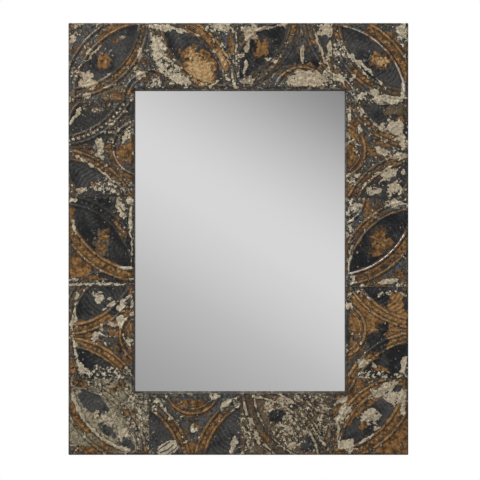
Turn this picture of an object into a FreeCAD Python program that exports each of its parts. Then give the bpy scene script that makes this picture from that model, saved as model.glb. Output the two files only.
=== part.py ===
import FreeCAD, Part
import math
import os

import Sketcher

# A wall mirror whose frame is four butt-jointed pine boards faced with fourteen pieces cut from old
# pressed tin ceiling plates. Every tin piece is folded over the outer edge of the frame and over the
# edge of the opening, and is nailed down. The mirror glass lies in a rebate behind the opening, and a
# hardboard back is screwed over it. Two strap hangers with swinging D rings take a hanging wire, and
# four rubber bumpers keep the frame off the wall.
#
# Frame of the model: +Z up, the mirror looks towards -Y, and the origin is the point of the wall
# plane behind the middle of the frame. The wall plane is where the bumpers' rear faces lie. A depth
# is a distance from the wall plane towards the viewer.

doc = FreeCAD.newDocument("tin_mirror")

SIZES = [
    # the whole frame and its opening
    ("overall_width", 628, "outer width over the tin"),
    ("overall_height", 798, "outer height over the tin"),
    ("left_band", 121, "outer edge to sight edge, left"),
    ("right_band", 115, "outer edge to sight edge, right"),
    ("top_band", 122, "outer edge to sight edge, top"),
    ("bottom_band", 114, "outer edge to sight edge, bottom"),
    ("board_thickness", 19, "pine board"),
    ("seat_clearance", 0.1, "between pieces that lie against each other's edges"),
    # pressed tin
    ("tin_thickness", 0.5, "sheet"),
    ("bend_radius", 2.2, "outside radius of the folded edges"),
    ("outer_fold", 17, "how far the tin runs down the outer side"),
    ("inner_fold", 13, "how far the tin runs down the sight edge"),
    ("seam_gap", 0.3, "between neighbouring tin pieces"),
    ("left_seam_a", 147, "from the top edge"),
    ("left_seam_b", 321, "from the top edge"),
    ("left_seam_c", 486, "from the top edge"),
    ("left_seam_d", 658, "from the top edge"),
    ("right_seam_a", 151, "from the top edge"),
    ("right_seam_b", 323, "from the top edge"),
    ("right_seam_c", 487, "from the top edge"),
    ("right_seam_d", 656, "from the top edge"),
    ("top_seam_a", 147, "from the left edge"),
    ("top_seam_b", 316, "from the left edge"),
    ("top_seam_c", 488, "from the left edge"),
    ("bottom_seam_a", 149, "from the left edge"),
    ("bottom_seam_b", 318, "from the left edge"),
    ("bottom_seam_c", 490, "from the left edge"),
    # the pressed pattern, which repeats every 12 inches
    ("half_repeat", 152.4, "half of the pattern's repeat"),
    ("ridge_height", 3, "pressed ridges, above the board"),
    ("great_ring_inner", 142, "radius of the ring round a medallion, inner ridge"),
    ("great_ring_outer", 161.6, "the same ring, outer ridge"),
    ("leaf_arc_inner", 133, "radius of the arc round a repeat's corner, inner ridge"),
    ("leaf_arc_outer", 149, "the same arc, outer ridge"),
    ("medallion_radius", 50, "ridge round the medallion"),
    ("rosette_radius", 17, "boss in the middle of a leaf"),
    ("rosette_height", 3.4, "that boss, above the board"),
    # nails through the tin
    ("nail_head_radius", 1.7, ""),
    ("nail_head_height", 0.7, ""),
    ("nail_shank_radius", 0.8, ""),
    ("nail_length", 8, "under the head"),
    ("nail_edge_drop", 12.5, "from the tin's face to the nails in the outer side"),
    ("nail_clearance", 0.05, "round a shank, and under a head"),
    ("nail_inset", 5, "from a seam"),
    # dowels in the corner joints
    ("dowel_radius", 4, ""),
    ("dowel_length", 50, ""),
    ("dowel_chamfer", 1, ""),
    ("dowel_clearance", 0.05, "round a dowel"),
    ("dowel_end_clearance", 1, "past each end of a dowel"),
    ("dowel_spacing", 60, "between the two dowels of a joint"),
    ("dowel_depth", 6.5, "from the board's back to a dowel's middle"),
    # mirror glass and its back
    ("glass_thickness", 4, ""),
    ("glass_overlap", 8, "glass behind the sight edge"),
    ("glass_clearance", 0.7, "round the glass in its rebate"),
    ("glass_arris", 0.6, "ground edge"),
    ("back_thickness", 3, "hardboard"),
    ("back_overlap", 22, "hardboard beyond the sight edge"),
    ("back_corner_radius", 4, ""),
    ("back_screw_inset", 8, "from the hardboard's edge"),
    # wood screws for the back and the hangers
    ("screw_head_radius", 3.6, ""),
    ("screw_head_height", 1.9, ""),
    ("screw_shank_radius", 1.7, ""),
    ("screw_length", 10, "under the head"),
    ("screw_point", 3, ""),
    ("screw_slot_width", 0.9, ""),
    ("screw_slot_depth", 0.8, ""),
    ("screw_clearance", 0.1, "round a shank, and under a head"),
    # strap hangers and their rings
    ("hanger_drop", 232, "from the top edge to the rings"),
    ("hanger_eye_inset", 72, "from the outer edge to the eye"),
    ("strap_length", 42, "from the eye to the rounded end"),
    ("strap_width", 12, ""),
    ("strap_thickness", 1, ""),
    ("strap_screw_near", 13, "from the eye"),
    ("strap_screw_far", 34, "from the eye"),
    ("ring_wire_radius", 1.25, ""),
    ("ring_clearance", 0.1, "between the ring's bar and the eye"),
    ("ring_width", 19, "between the middles of the two legs"),
    ("ring_corner_radius", 3, "middle of the wire, at the ends of the bar"),
    ("ring_leg_length", 3, "straight part of a leg"),
    # bumpers
    ("bumper_height", 6, "the frame's back to the wall"),
    ("bumper_radius", 8, ""),
    ("bumper_taper", 1.5, "smaller at the wall"),
    ("bumper_rounding", 0.8, ""),
    ("bumper_inset", 24, "from the outer edges"),
]

sheet = doc.addObject("Spreadsheet::Sheet", "Sizes")
for row, (alias, number, note) in enumerate(SIZES, start=1):
    sheet.set(f"A{row}", alias)
    sheet.set(f"B{row}", str(number))
    sheet.set(f"C{row}", note)
    sheet.setAlias(f"B{row}", alias)
doc.recompute()


def size(expression):
    """The value of an expression in the sheet's sizes, in millimetres."""
    return float(sheet.evalExpression(expression))


# Depths and edges, as expressions in the sheet's sizes.
BACK = "Sizes.bumper_height"
GLASS_FRONT = f"({BACK} + Sizes.glass_thickness)"
FRONT = f"({BACK} + Sizes.board_thickness)"
FACE = f"({FRONT} + Sizes.tin_thickness)"
LEFT = "(-Sizes.overall_width / 2)"
RIGHT = "(Sizes.overall_width / 2)"
BOTTOM = "(-Sizes.overall_height / 2)"
TOP = "(Sizes.overall_height / 2)"
SIGHT_LEFT = f"({LEFT} + Sizes.left_band)"
SIGHT_RIGHT = f"({RIGHT} - Sizes.right_band)"
SIGHT_BOTTOM = f"({BOTTOM} + Sizes.bottom_band)"
SIGHT_TOP = f"({TOP} - Sizes.top_band)"
TIN = "Sizes.tin_thickness"
SEAT = "Sizes.seat_clearance"


def bind(thing, **expressions):
    """Binds properties to expressions; two underscores in a name stand for a dot."""
    for name, expression in expressions.items():
        thing.setExpression(name.replace("__", "."), expression)
    return thing


def block(name, left, right, bottom, top, back, front):
    """A box between the given edges and depths."""
    made = doc.addObject("Part::Box", name)
    return bind(
        made,
        Length=f"({right}) - ({left})",
        Width=f"({front}) - ({back})",
        Height=f"({top}) - ({bottom})",
        Placement__Base__x=left,
        Placement__Base__y=f"-({front})",
        Placement__Base__z=bottom,
    )


def torus(name, x, z, depth, radius, section):
    """A ring that lies parallel to the wall, its middle at (x, z) and at a depth."""
    made = doc.addObject("Part::Torus", name)
    made.Placement = FreeCAD.Placement(FreeCAD.Vector(), FreeCAD.Rotation(FreeCAD.Vector(1, 0, 0), 90))
    return bind(
        made,
        Radius1=radius,
        Radius2=section,
        Placement__Base__x=x,
        Placement__Base__y=f"-({depth})",
        Placement__Base__z=z,
    )


def ball(name, x, z, depth, radius):
    made = doc.addObject("Part::Sphere", name)
    return bind(
        made,
        Radius=radius,
        Placement__Base__x=x,
        Placement__Base__y=f"-({depth})",
        Placement__Base__z=z,
    )


def cut(name, base, tool):
    made = doc.addObject("Part::Cut", name)
    made.Base = base
    made.Tool = tool
    return made


def join(name, things):
    made = doc.addObject("Part::MultiFuse", name)
    made.Shapes = things
    return made


def common(name, *things):
    made = doc.addObject("Part::MultiCommon", name)
    made.Shapes = list(things)
    return made


def shaped(name, shape):
    """A piece whose shape is made of copies, such as a group of nails."""
    made = doc.addObject("Part::Feature", name)
    made.Shape = shape
    return made


def origin_plane(body, role):
    return next(item for item in body.Origin.OriginFeatures if item.Role == role)


def new_sketch(body, name, role, depth=None):
    """A sketch on one of a body's own planes; depth moves it along that plane's normal."""
    sketch = body.newObject("Sketcher::SketchObject", name)
    sketch.AttachmentSupport = (origin_plane(body, role), [""])
    sketch.MapMode = "FlatFace"
    if depth:
        sketch.setExpression("AttachmentOffset.Base.z", depth)
    return sketch


def held(sketch, kind, expression, *places):
    """Adds a dimension to a sketch and binds it to an expression."""
    index = sketch.addConstraint(Sketcher.Constraint(kind, *places, size(expression)))
    sketch.setExpression(f"Constraints[{index}]", expression)


def outline(sketch, corners):
    """A closed outline of straight lines; each corner is a pair of expressions from the origin."""
    spots = [FreeCAD.Vector(size(a), size(b), 0) for a, b in corners]
    for here, there in zip(spots, spots[1:] + spots[:1]):
        sketch.addGeometry(Part.LineSegment(here, there))
    last = len(corners) - 1
    for index, (a, b) in enumerate(corners):
        before = last if index == 0 else index - 1
        sketch.addConstraint(Sketcher.Constraint("Coincident", before, 2, index, 1))
        held(sketch, "DistanceX", a, -1, 1, index, 1)
        held(sketch, "DistanceY", b, -1, 1, index, 1)


def circle(sketch, a, b, radius):
    """A circle about the point that two expressions give."""
    spot = FreeCAD.Vector(size(a), size(b), 0)
    index = sketch.addGeometry(Part.Circle(spot, FreeCAD.Vector(0, 0, 1), size(radius)))
    held(sketch, "DistanceX", a, -1, 1, index, 3)
    held(sketch, "DistanceY", b, -1, 1, index, 3)
    held(sketch, "Radius", radius, index)


def rectangle(sketch, left, right, bottom, top):
    outline(sketch, [(left, bottom), (right, bottom), (right, top), (left, top)])


def pad(body, name, sketch, length, midplane=False):
    made = body.newObject("PartDesign::Pad", name)
    made.Profile = sketch
    made.Midplane = midplane
    made.setExpression("Length", length)
    return made


def pocket(body, name, sketch, length, midplane=False, towards_back=True):
    made = body.newObject("PartDesign::Pocket", name)
    made.Profile = sketch
    made.Midplane = midplane
    made.Reversed = not towards_back
    made.setExpression("Length", length)
    return made


def edges_at_depth(shape, depth):
    """The names of a shape's edges that lie wholly at one depth."""
    found = []
    for index, edge in enumerate(shape.Edges, start=1):
        low, high = edge.BoundBox.YMin, edge.BoundBox.YMax
        if max(abs(low + depth), abs(high + depth)) < 1e-4:
            found.append(f"Edge{index}")
    return found


def rounded_ring(name, grown_by, front, radius):
    """The frame as one ring of rectangular section, with its front edges rounded over. grown_by is
    how much bigger it is than the boards, all round its section."""
    body = doc.addObject("PartDesign::Body", name)
    rim = new_sketch(body, name + "_rim", "XZ_Plane", BACK)
    inset = f"({TIN} - ({grown_by}))"
    rectangle(rim, f"{LEFT} + {inset}", f"{RIGHT} - {inset}", f"{BOTTOM} + {inset}", f"{TOP} - {inset}")
    slab = pad(body, name + "_slab", rim, f"({front}) - ({BACK})")
    hole = new_sketch(body, name + "_hole", "XZ_Plane", BACK)
    rectangle(
        hole,
        f"{SIGHT_LEFT} - {inset}",
        f"{SIGHT_RIGHT} + {inset}",
        f"{SIGHT_BOTTOM} - {inset}",
        f"{SIGHT_TOP} + {inset}",
    )
    opened = pocket(body, name + "_opening", hole, f"({front}) - ({BACK})", towards_back=False)
    doc.recompute()
    assert opened.Shape.Volume < slab.Shape.Volume, "the opening is not cut"
    rounding = body.newObject("PartDesign::Fillet", name + "_rounding")
    rounding.Base = (opened, edges_at_depth(opened.Shape, size(front)))
    rounding.setExpression("Radius", radius)
    doc.recompute()
    return body


# The boards' ring, and the same ring grown by the tin's thickness.
board_ring = rounded_ring("board_ring", "0", FRONT, f"Sizes.bend_radius - {TIN}")
skin_ring = rounded_ring("skin_ring", TIN, FACE, "Sizes.bend_radius")


# Tin pieces. x and z are the piece's edges, centre is the middle of the pattern's medallion as a
# corner of the piece and a shift in shares of the half repeat, and leaves are the directions from
# there to the corners of the repeat whose arcs close a leaf on this piece.
def across(seam):
    return f"({LEFT} + Sizes.{seam})"


def down(seam):
    return f"({TOP} - Sizes.{seam})"


UP_LEFT, UP_RIGHT, DOWN_LEFT, DOWN_RIGHT = (-1, 1), (1, 1), (-1, -1), (1, -1)

TIN_PIECES = [
    {
        "name": "tin_top_left_corner",
        "x": (LEFT, across("top_seam_a")),
        "z": (down("left_seam_a"), TOP),
        "corner": (across("top_seam_a"), down("left_seam_a")),
        "shift_shares": (0.033, 0.039),
        "leaves": [UP_LEFT],
    },
    {
        "name": "tin_top_left",
        "x": (across("top_seam_a"), across("top_seam_b")),
        "z": (SIGHT_TOP, TOP),
        "corner": (across("top_seam_a"), SIGHT_TOP),
        "shift_shares": (0.02, -0.1),
        "leaves": [UP_RIGHT],
    },
    {
        "name": "tin_top_right",
        "x": (across("top_seam_b"), across("top_seam_c")),
        "z": (SIGHT_TOP, TOP),
        "corner": (across("top_seam_b"), SIGHT_TOP),
        "shift_shares": (0.75, -0.066),
        "leaves": [UP_LEFT, UP_RIGHT],
    },
    {
        "name": "tin_top_right_corner",
        "x": (across("top_seam_c"), RIGHT),
        "z": (down("right_seam_a"), TOP),
        "corner": (across("top_seam_c"), down("right_seam_a")),
        "shift_shares": (-0.048, 0.04),
        "leaves": [UP_RIGHT],
    },
    {
        "name": "tin_left_upper",
        "x": (LEFT, SIGHT_LEFT),
        "z": (down("left_seam_b"), down("left_seam_a")),
        "corner": (SIGHT_LEFT, down("left_seam_a")),
        "shift_shares": (0.08, -0.546),
        "leaves": [UP_LEFT, DOWN_LEFT],
    },
    {
        "name": "tin_left_middle",
        "x": (LEFT, SIGHT_LEFT),
        "z": (down("left_seam_c"), down("left_seam_b")),
        "corner": (SIGHT_LEFT, down("left_seam_b")),
        "shift_shares": (0.12, 0.036),
        "leaves": [DOWN_LEFT],
    },
    {
        "name": "tin_left_lower",
        "x": (LEFT, SIGHT_LEFT),
        "z": (down("left_seam_d"), down("left_seam_c")),
        "corner": (SIGHT_LEFT, down("left_seam_c")),
        "shift_shares": (0.165, -0.606),
        "leaves": [UP_LEFT, DOWN_LEFT],
    },
    {
        "name": "tin_right_upper",
        "x": (SIGHT_RIGHT, RIGHT),
        "z": (down("right_seam_b"), down("right_seam_a")),
        "corner": (SIGHT_RIGHT, down("right_seam_a")),
        "shift_shares": (-0.098, -0.55),
        "leaves": [UP_RIGHT, DOWN_RIGHT],
    },
    {
        "name": "tin_right_middle",
        "x": (SIGHT_RIGHT, RIGHT),
        "z": (down("right_seam_c"), down("right_seam_b")),
        "corner": (SIGHT_RIGHT, down("right_seam_b")),
        "shift_shares": (-0.113, 0.002),
        "leaves": [DOWN_RIGHT],
    },
    {
        "name": "tin_right_lower",
        "x": (SIGHT_RIGHT, RIGHT),
        "z": (down("right_seam_d"), down("right_seam_c")),
        "corner": (SIGHT_RIGHT, down("right_seam_c")),
        "shift_shares": (-0.098, -0.527),
        "leaves": [UP_RIGHT, DOWN_RIGHT],
    },
    {
        "name": "tin_bottom_left_corner",
        "x": (LEFT, across("bottom_seam_a")),
        "z": (BOTTOM, down("left_seam_d")),
        "corner": (across("bottom_seam_a"), down("left_seam_d")),
        "shift_shares": (-0.013, 0.037),
        "leaves": [DOWN_LEFT],
    },
    {
        "name": "tin_bottom_left",
        "x": (across("bottom_seam_a"), across("bottom_seam_b")),
        "z": (BOTTOM, SIGHT_BOTTOM),
        "corner": (across("bottom_seam_a"), SIGHT_BOTTOM),
        "shift_shares": (0.526, 0.084),
        "leaves": [DOWN_LEFT, DOWN_RIGHT],
    },
    {
        "name": "tin_bottom_right",
        "x": (across("bottom_seam_b"), across("bottom_seam_c")),
        "z": (BOTTOM, SIGHT_BOTTOM),
        "corner": (across("bottom_seam_c"), SIGHT_BOTTOM),
        "shift_shares": (-0.044, 0.088),
        "leaves": [DOWN_LEFT],
    },
    {
        "name": "tin_bottom_right_corner",
        "x": (across("bottom_seam_c"), RIGHT),
        "z": (BOTTOM, down("right_seam_d")),
        "corner": (across("bottom_seam_c"), down("right_seam_d")),
        "shift_shares": (-0.068, 0.061),
        "leaves": [DOWN_RIGHT],
    },
]

HALF_SEAM = "Sizes.seam_gap / 2"
CORE_HEIGHT = f"(Sizes.ridge_height - {TIN})"
OUTSIDE_EDGES = (LEFT, RIGHT, BOTTOM, TOP)
SIGHT_EDGES = (SIGHT_LEFT, SIGHT_RIGHT, SIGHT_BOTTOM, SIGHT_TOP)
BEYOND = "Sizes.ridge_height * 2"


def shell():
    """The tin as if it were one sheet: the grown ring less the boards, cut back where it ends."""
    hollow = cut("tin_hollow", skin_ring, board_ring)
    low_end = f"{FACE} - Sizes.outer_fold"
    inner_end = f"{FACE} - Sizes.inner_fold"
    behind = block(
        "behind_outer_fold",
        f"{LEFT} - {BEYOND}",
        f"{RIGHT} + {BEYOND}",
        f"{BOTTOM} - {BEYOND}",
        f"{TOP} + {BEYOND}",
        "0",
        low_end,
    )
    inside = block(
        "behind_inner_fold",
        f"{SIGHT_LEFT} - {BEYOND}",
        f"{SIGHT_RIGHT} + {BEYOND}",
        f"{SIGHT_BOTTOM} - {BEYOND}",
        f"{SIGHT_TOP} + {BEYOND}",
        "0",
        inner_end,
    )
    return cut("tin_shell", cut("tin_without_back", hollow, behind), inside)


tin_shell = shell()


def middle_of_medallion(piece):
    """The medallion's middle, as two expressions."""
    (corner_x, corner_z), (share_x, share_z) = piece["corner"], piece["shift_shares"]
    return (
        f"({corner_x} + {share_x} * Sizes.half_repeat)",
        f"({corner_z} + {share_z} * Sizes.half_repeat)",
    )


def ridge_circles(piece):
    """Every ridge that may cross a piece, as the middle and the radius of its circle."""
    x, z = middle_of_medallion(piece)
    circles = [
        (x, z, "Sizes.medallion_radius"),
        (x, z, "Sizes.great_ring_inner"),
        (x, z, "Sizes.great_ring_outer"),
    ]
    for along, up in piece["leaves"]:
        corner_x = f"({x} + {along} * Sizes.half_repeat)"
        corner_z = f"({z} + {up} * Sizes.half_repeat)"
        circles.append((corner_x, corner_z, "Sizes.leaf_arc_inner"))
        circles.append((corner_x, corner_z, "Sizes.leaf_arc_outer"))
    return circles


def crosses(piece, ridge):
    """Whether a ridge's circle passes through the flat face of a piece."""
    x, z, radius = (size(term) for term in ridge)
    spare = size("Sizes.bend_radius + Sizes.ridge_height")
    (left, right), (bottom, top) = [[size(end) for end in piece[key]] for key in ("x", "z")]
    near_x = min(max(x, left + spare), right - spare)
    near_z = min(max(z, bottom + spare), top - spare)
    nearest = math.hypot(near_x - x, near_z - z)
    farthest = max(math.hypot(a - x, b - z) for a in (left, right) for b in (bottom, top))
    return nearest < radius < farthest - spare


def face_zone(name, piece, back, front, inset):
    """The part of a piece's face that is pressed. It stops short of the folded edges by an inset."""
    (left, right), (bottom, top) = piece["x"], piece["z"]
    ends = []
    for end, side in ((left, 1), (right, -1), (bottom, 1), (top, -1)):
        folded = end in OUTSIDE_EDGES or end in SIGHT_EDGES
        ends.append(f"{end} + {side} * ({inset if folded else HALF_SEAM})")
    zone = block(name, *ends, back, front)
    if "corner" not in piece["name"]:
        return zone
    window = block(
        name + "_window",
        f"{SIGHT_LEFT} - ({inset})",
        f"{SIGHT_RIGHT} + ({inset})",
        f"{SIGHT_BOTTOM} - ({inset})",
        f"{SIGHT_TOP} + ({inset})",
        f"{back} - {BEYOND}",
        f"{front} + {BEYOND}",
    )
    return cut(name + "_notched", zone, window)


def leaf_middle(piece):
    """The middle of the one leaf that a piece shows whole."""
    x, z = middle_of_medallion(piece)
    (along, up), = piece["leaves"]
    reach = "(Sizes.half_repeat + (Sizes.great_ring_inner - Sizes.leaf_arc_inner) / 2 / sqrt(2))"
    step = f"({reach} - Sizes.half_repeat / 2)"
    return f"({x} + {along} * {step})", f"({z} + {up} * {step})"


def pressing(name, piece, ridges, section, zone):
    """The pressed ridges and the boss of a leaf, at one size of section, inside a zone."""
    parts = []
    for index, (x, z, radius) in enumerate(ridges):
        parts.append(torus(f"{name}_ridge_{index}", x, z, FRONT, radius, section))
    if len(piece["leaves"]) == 1:
        x, z = leaf_middle(piece)
        height = f"(Sizes.rosette_height - Sizes.ridge_height + {section})"
        radius = f"((Sizes.rosette_radius ^ 2 + Sizes.rosette_height ^ 2) / 2 / Sizes.rosette_height"
        radius += f" - Sizes.ridge_height + {section})"
        parts.append(ball(f"{name}_boss", x, z, f"({FRONT} + {height} - {radius})", radius))
    return common(name + "_in_zone", join(name + "_all", parts), zone)


NAIL_STEP_SHARES = (0, 0.12, 0.25, 0.4, 0.55, 0.7, 0.85, 1)
NAIL_SPOT_SHARES = [(a, b) for a in (0, 1) for b in NAIL_STEP_SHARES]
NAIL_SPOT_SHARES += [(b, a) for a in (0, 1) for b in NAIL_STEP_SHARES]
NAIL_SPREAD_SHARE = 6


def face_nail_spots(piece):
    """Where a piece is nailed through its face: near its corners and the middles of its sides,
    wherever the flat sheet leaves room for a head."""
    (left, right), (bottom, top) = [[size(end) for end in piece[key]] for key in ("x", "z")]
    inset = size("Sizes.nail_inset")
    room = size("Sizes.ridge_height + Sizes.nail_head_radius + Sizes.tin_thickness")
    deep_inset = size("Sizes.nail_inset * 2")
    circles = [[size(term) for term in ridge] for ridge in ridge_circles(piece)]
    if len(piece["leaves"]) == 1:
        boss_x, boss_z = leaf_middle(piece)
        circles.append([size(boss_x), size(boss_z), size("Sizes.rosette_radius")])
    window = [size(end) for end in SIGHT_EDGES]
    spots = []
    for share_x, share_z in NAIL_SPOT_SHARES:
        x = left + inset + share_x * (right - left - inset - inset)
        z = bottom + inset + share_z * (top - bottom - inset - inset)
        clear = all(abs(math.hypot(x - a, z - b) - c) > room for a, b, c in circles)
        in_window = window[0] - deep_inset < x < window[1] + deep_inset
        in_window = in_window and window[2] - deep_inset < z < window[3] + deep_inset
        at_outside = min(x + size(RIGHT), size(RIGHT) - x, z + size(TOP), size(TOP) - z) < deep_inset
        apart = all(math.hypot(x - a, z - b) > NAIL_SPREAD_SHARE * inset for a, b in spots)
        if clear and apart and not in_window and not at_outside:
            spots.append((x, z))
    return spots


HEAD_TOP_SHARE = 0.7
TIP_SHARE = 0.3
TO_VIEWER = FreeCAD.Vector(0, -1, 0)
TO_WALL = FreeCAD.Vector(0, 1, 0)


def nail(x, z):
    """A nail through the face: a flat domed head on the tin and a shank with a point."""
    face = size(f"{FACE} + Sizes.nail_clearance")
    head = size("Sizes.nail_head_radius")
    height = size("Sizes.nail_head_height")
    shank = size("Sizes.nail_shank_radius")
    length = size("Sizes.nail_length")
    made = Part.makeCone(head, head * HEAD_TOP_SHARE, height, FreeCAD.Vector(x, -face, z), TO_VIEWER)
    made = made.fuse(Part.makeCylinder(shank, length - shank, FreeCAD.Vector(x, -face, z), TO_WALL))
    tip = FreeCAD.Vector(x, length - shank - face, z)
    return made.fuse(Part.makeCone(shank, shank * TIP_SHARE, shank, tip, TO_WALL))


def edge_nail(x, z, inward):
    """The same nail through an outer side of the frame, pointing inward."""
    upright = nail(0, 0)
    face = size(f"{FACE} + Sizes.nail_clearance")
    upright.translate(FreeCAD.Vector(0, face, 0))
    turned = upright.copy()
    turned.Placement = FreeCAD.Placement(
        FreeCAD.Vector(x, size(f"Sizes.nail_edge_drop - {FACE}"), z),
        FreeCAD.Rotation(TO_WALL, inward),
    ).multiply(turned.Placement)
    return turned


EDGE_NAIL_SHARES = (0.16, 0.84)


def edge_nail_spots(piece):
    """Two nails through each outer side of a piece, with the side's inward direction."""
    (left, right), (bottom, top) = [[size(end) for end in piece[key]] for key in ("x", "z")]
    out = size("Sizes.nail_clearance")
    spots = []
    for share in EDGE_NAIL_SHARES:
        x = left + share * (right - left)
        z = bottom + share * (top - bottom)
        if piece["x"][0] == LEFT:
            spots.append((left - out, z, FreeCAD.Vector(1, 0, 0)))
        if piece["x"][1] == RIGHT:
            spots.append((right + out, z, FreeCAD.Vector(-1, 0, 0)))
        if piece["z"][0] == BOTTOM:
            spots.append((x, bottom - out, FreeCAD.Vector(0, 0, 1)))
        if piece["z"][1] == TOP:
            spots.append((x, top + out, FreeCAD.Vector(0, 0, -1)))
    return spots


face_spots = [spot for piece in TIN_PIECES for spot in face_nail_spots(piece)]
edge_spots = [spot for piece in TIN_PIECES for spot in edge_nail_spots(piece)]


def nail_holes(name):
    """Every nail's hole, for the tin and the boards alike."""
    radius = size("Sizes.nail_shank_radius + Sizes.nail_clearance")
    long = size("Sizes.nail_length + Sizes.nail_clearance * 4")
    past = size("Sizes.ridge_height")
    holes = []
    for x, z in face_spots:
        start = FreeCAD.Vector(x, -size(FACE) - past, z)
        holes.append(Part.makeCylinder(radius, long + past, start, TO_WALL))
    for x, z, inward in edge_spots:
        start = FreeCAD.Vector(x, size(f"Sizes.nail_edge_drop - {FACE}"), z) - inward * past
        holes.append(Part.makeCylinder(radius, long + past, start, inward))
    return shaped(name, Part.makeCompound(holes))


holes_for_nails = nail_holes("holes_for_nails")


def tin(piece):
    name = piece["name"]
    (left, right), (bottom, top) = piece["x"], piece["z"]
    ends = []
    for end, side in ((left, 1), (right, -1), (bottom, 1), (top, -1)):
        folded = end in OUTSIDE_EDGES or end in SIGHT_EDGES
        ends.append(f"{end} - {side} * ({BEYOND})" if folded else f"{end} + {side} * {HALF_SEAM}")
    region = block(name + "_region", *ends, "0", f"{FACE} + {BEYOND}")
    sheet_part = common(name + "_sheet", tin_shell, region)
    ridges = [ridge for ridge in ridge_circles(piece) if crosses(piece, ridge)]
    outer_zone = face_zone(name + "_zone", piece, FRONT, f"{FRONT} + {BEYOND}", "Sizes.bend_radius")
    core_zone = face_zone(
        name + "_core_zone",
        piece,
        f"{FRONT} - {BEYOND}",
        f"{FRONT} + {BEYOND}",
        f"Sizes.bend_radius + {TIN}",
    )
    outer = pressing(name + "_outer", piece, ridges, "Sizes.ridge_height", outer_zone)
    core = pressing(name + "_core", piece, ridges, CORE_HEIGHT, core_zone)
    solid = join(name + "_solid", [sheet_part, outer])
    pressed = cut(name + "_pressed", solid, core)
    return cut(name, pressed, holes_for_nails)


nodes = {piece["name"]: tin(piece) for piece in TIN_PIECES}


# The boards. The stiles run the full height and the rails are butted between them.
DOWEL_DEPTH = f"({BACK} + Sizes.dowel_depth)"
TOP_RAIL_MIDDLE = f"(({SIGHT_TOP} + {TOP}) / 2)"
BOTTOM_RAIL_MIDDLE = f"(({SIGHT_BOTTOM} + {BOTTOM}) / 2)"
JOINTS = {
    "dowels_top_left": (f"({SIGHT_LEFT} - {TIN})", TOP_RAIL_MIDDLE),
    "dowels_top_right": (f"({SIGHT_RIGHT} + {TIN})", TOP_RAIL_MIDDLE),
    "dowels_bottom_left": (f"({SIGHT_LEFT} - {TIN})", BOTTOM_RAIL_MIDDLE),
    "dowels_bottom_right": (f"({SIGHT_RIGHT} + {TIN})", BOTTOM_RAIL_MIDDLE),
}


def dowel_pair(joint, radius, length, chamfer):
    """Two level dowels across a joint, or their holes."""
    x, z = [size(term) for term in JOINTS[joint]]
    made = []
    for side in (-1, 1):
        spacing = side * size("Sizes.dowel_spacing / 2")
        start = FreeCAD.Vector(x - length / 2, -size(DOWEL_DEPTH), z + spacing)
        along = FreeCAD.Vector(1, 0, 0)
        if not chamfer:
            made.append(Part.makeCylinder(radius, length, start, along))
            continue
        body = Part.makeCylinder(radius, length - chamfer * 2, start + along * chamfer, along)
        for tip, way in ((start, along), (start + along * length, -along)):
            body = body.fuse(Part.makeCone(radius - chamfer, radius, chamfer, tip, way))
        made.append(body.removeSplitter())
    return made


def dowels(joint):
    radius, length, chamfer = [
        size(term) for term in ("Sizes.dowel_radius", "Sizes.dowel_length", "Sizes.dowel_chamfer")
    ]
    return shaped(joint, Part.makeCompound(dowel_pair(joint, radius, length, chamfer)))


def dowel_holes():
    radius = size("Sizes.dowel_radius + Sizes.dowel_clearance")
    length = size("Sizes.dowel_length + Sizes.dowel_end_clearance * 2")
    holes = []
    for joint in JOINTS:
        holes += dowel_pair(joint, radius, length, 0)
    return shaped("holes_for_dowels", Part.makeCompound(holes))


holes_for_dowels = dowel_holes()

GLASS_EDGES = (
    f"{SIGHT_LEFT} - Sizes.glass_overlap",
    f"{SIGHT_RIGHT} + Sizes.glass_overlap",
    f"{SIGHT_BOTTOM} - Sizes.glass_overlap",
    f"{SIGHT_TOP} + Sizes.glass_overlap",
)
BACK_EDGES = (
    f"({SIGHT_LEFT} - Sizes.back_overlap)",
    f"({SIGHT_RIGHT} + Sizes.back_overlap)",
    f"({SIGHT_BOTTOM} - Sizes.back_overlap)",
    f"({SIGHT_TOP} + Sizes.back_overlap)",
)
REBATE_EDGES = [
    f"{edge} {sign} Sizes.glass_clearance" for edge, sign in zip(GLASS_EDGES, "-+-+")
]
rebate = block("rebate", *REBATE_EDGES, "0", GLASS_FRONT)


# Screws. Each spot is a point of the frame's back, and the face that the head bears on is at a depth.
def back_screw_spots():
    left, right, bottom, top = [size(edge) for edge in BACK_EDGES]
    inset = size("Sizes.back_screw_inset")
    low, high = bottom + inset, top - inset
    spots = []
    for x in (left + inset, right - inset):
        for step in range(BACK_SCREW_ROWS):
            spots.append((x, low + (high - low) * step / (BACK_SCREW_ROWS - 1)))
    for z in (low, high):
        spots.append(((left + right) / 2, z))
    return spots


BACK_SCREW_ROWS = 4
HANGERS = {"left": (LEFT, 1), "right": (RIGHT, -1)}
HANGER_HEIGHT = f"({TOP} - Sizes.hanger_drop)"


def eye_of(side):
    """The x of a hanger's eye and the direction to the middle of the frame."""
    edge, inward = HANGERS[side]
    return f"({edge} + {inward} * Sizes.hanger_eye_inset)", inward


def hanger_screw_spots(side):
    eye, inward = eye_of(side)
    reaches = ("Sizes.strap_screw_near", "Sizes.strap_screw_far")
    return [(size(eye) - inward * size(reach), size(HANGER_HEIGHT)) for reach in reaches]


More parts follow.
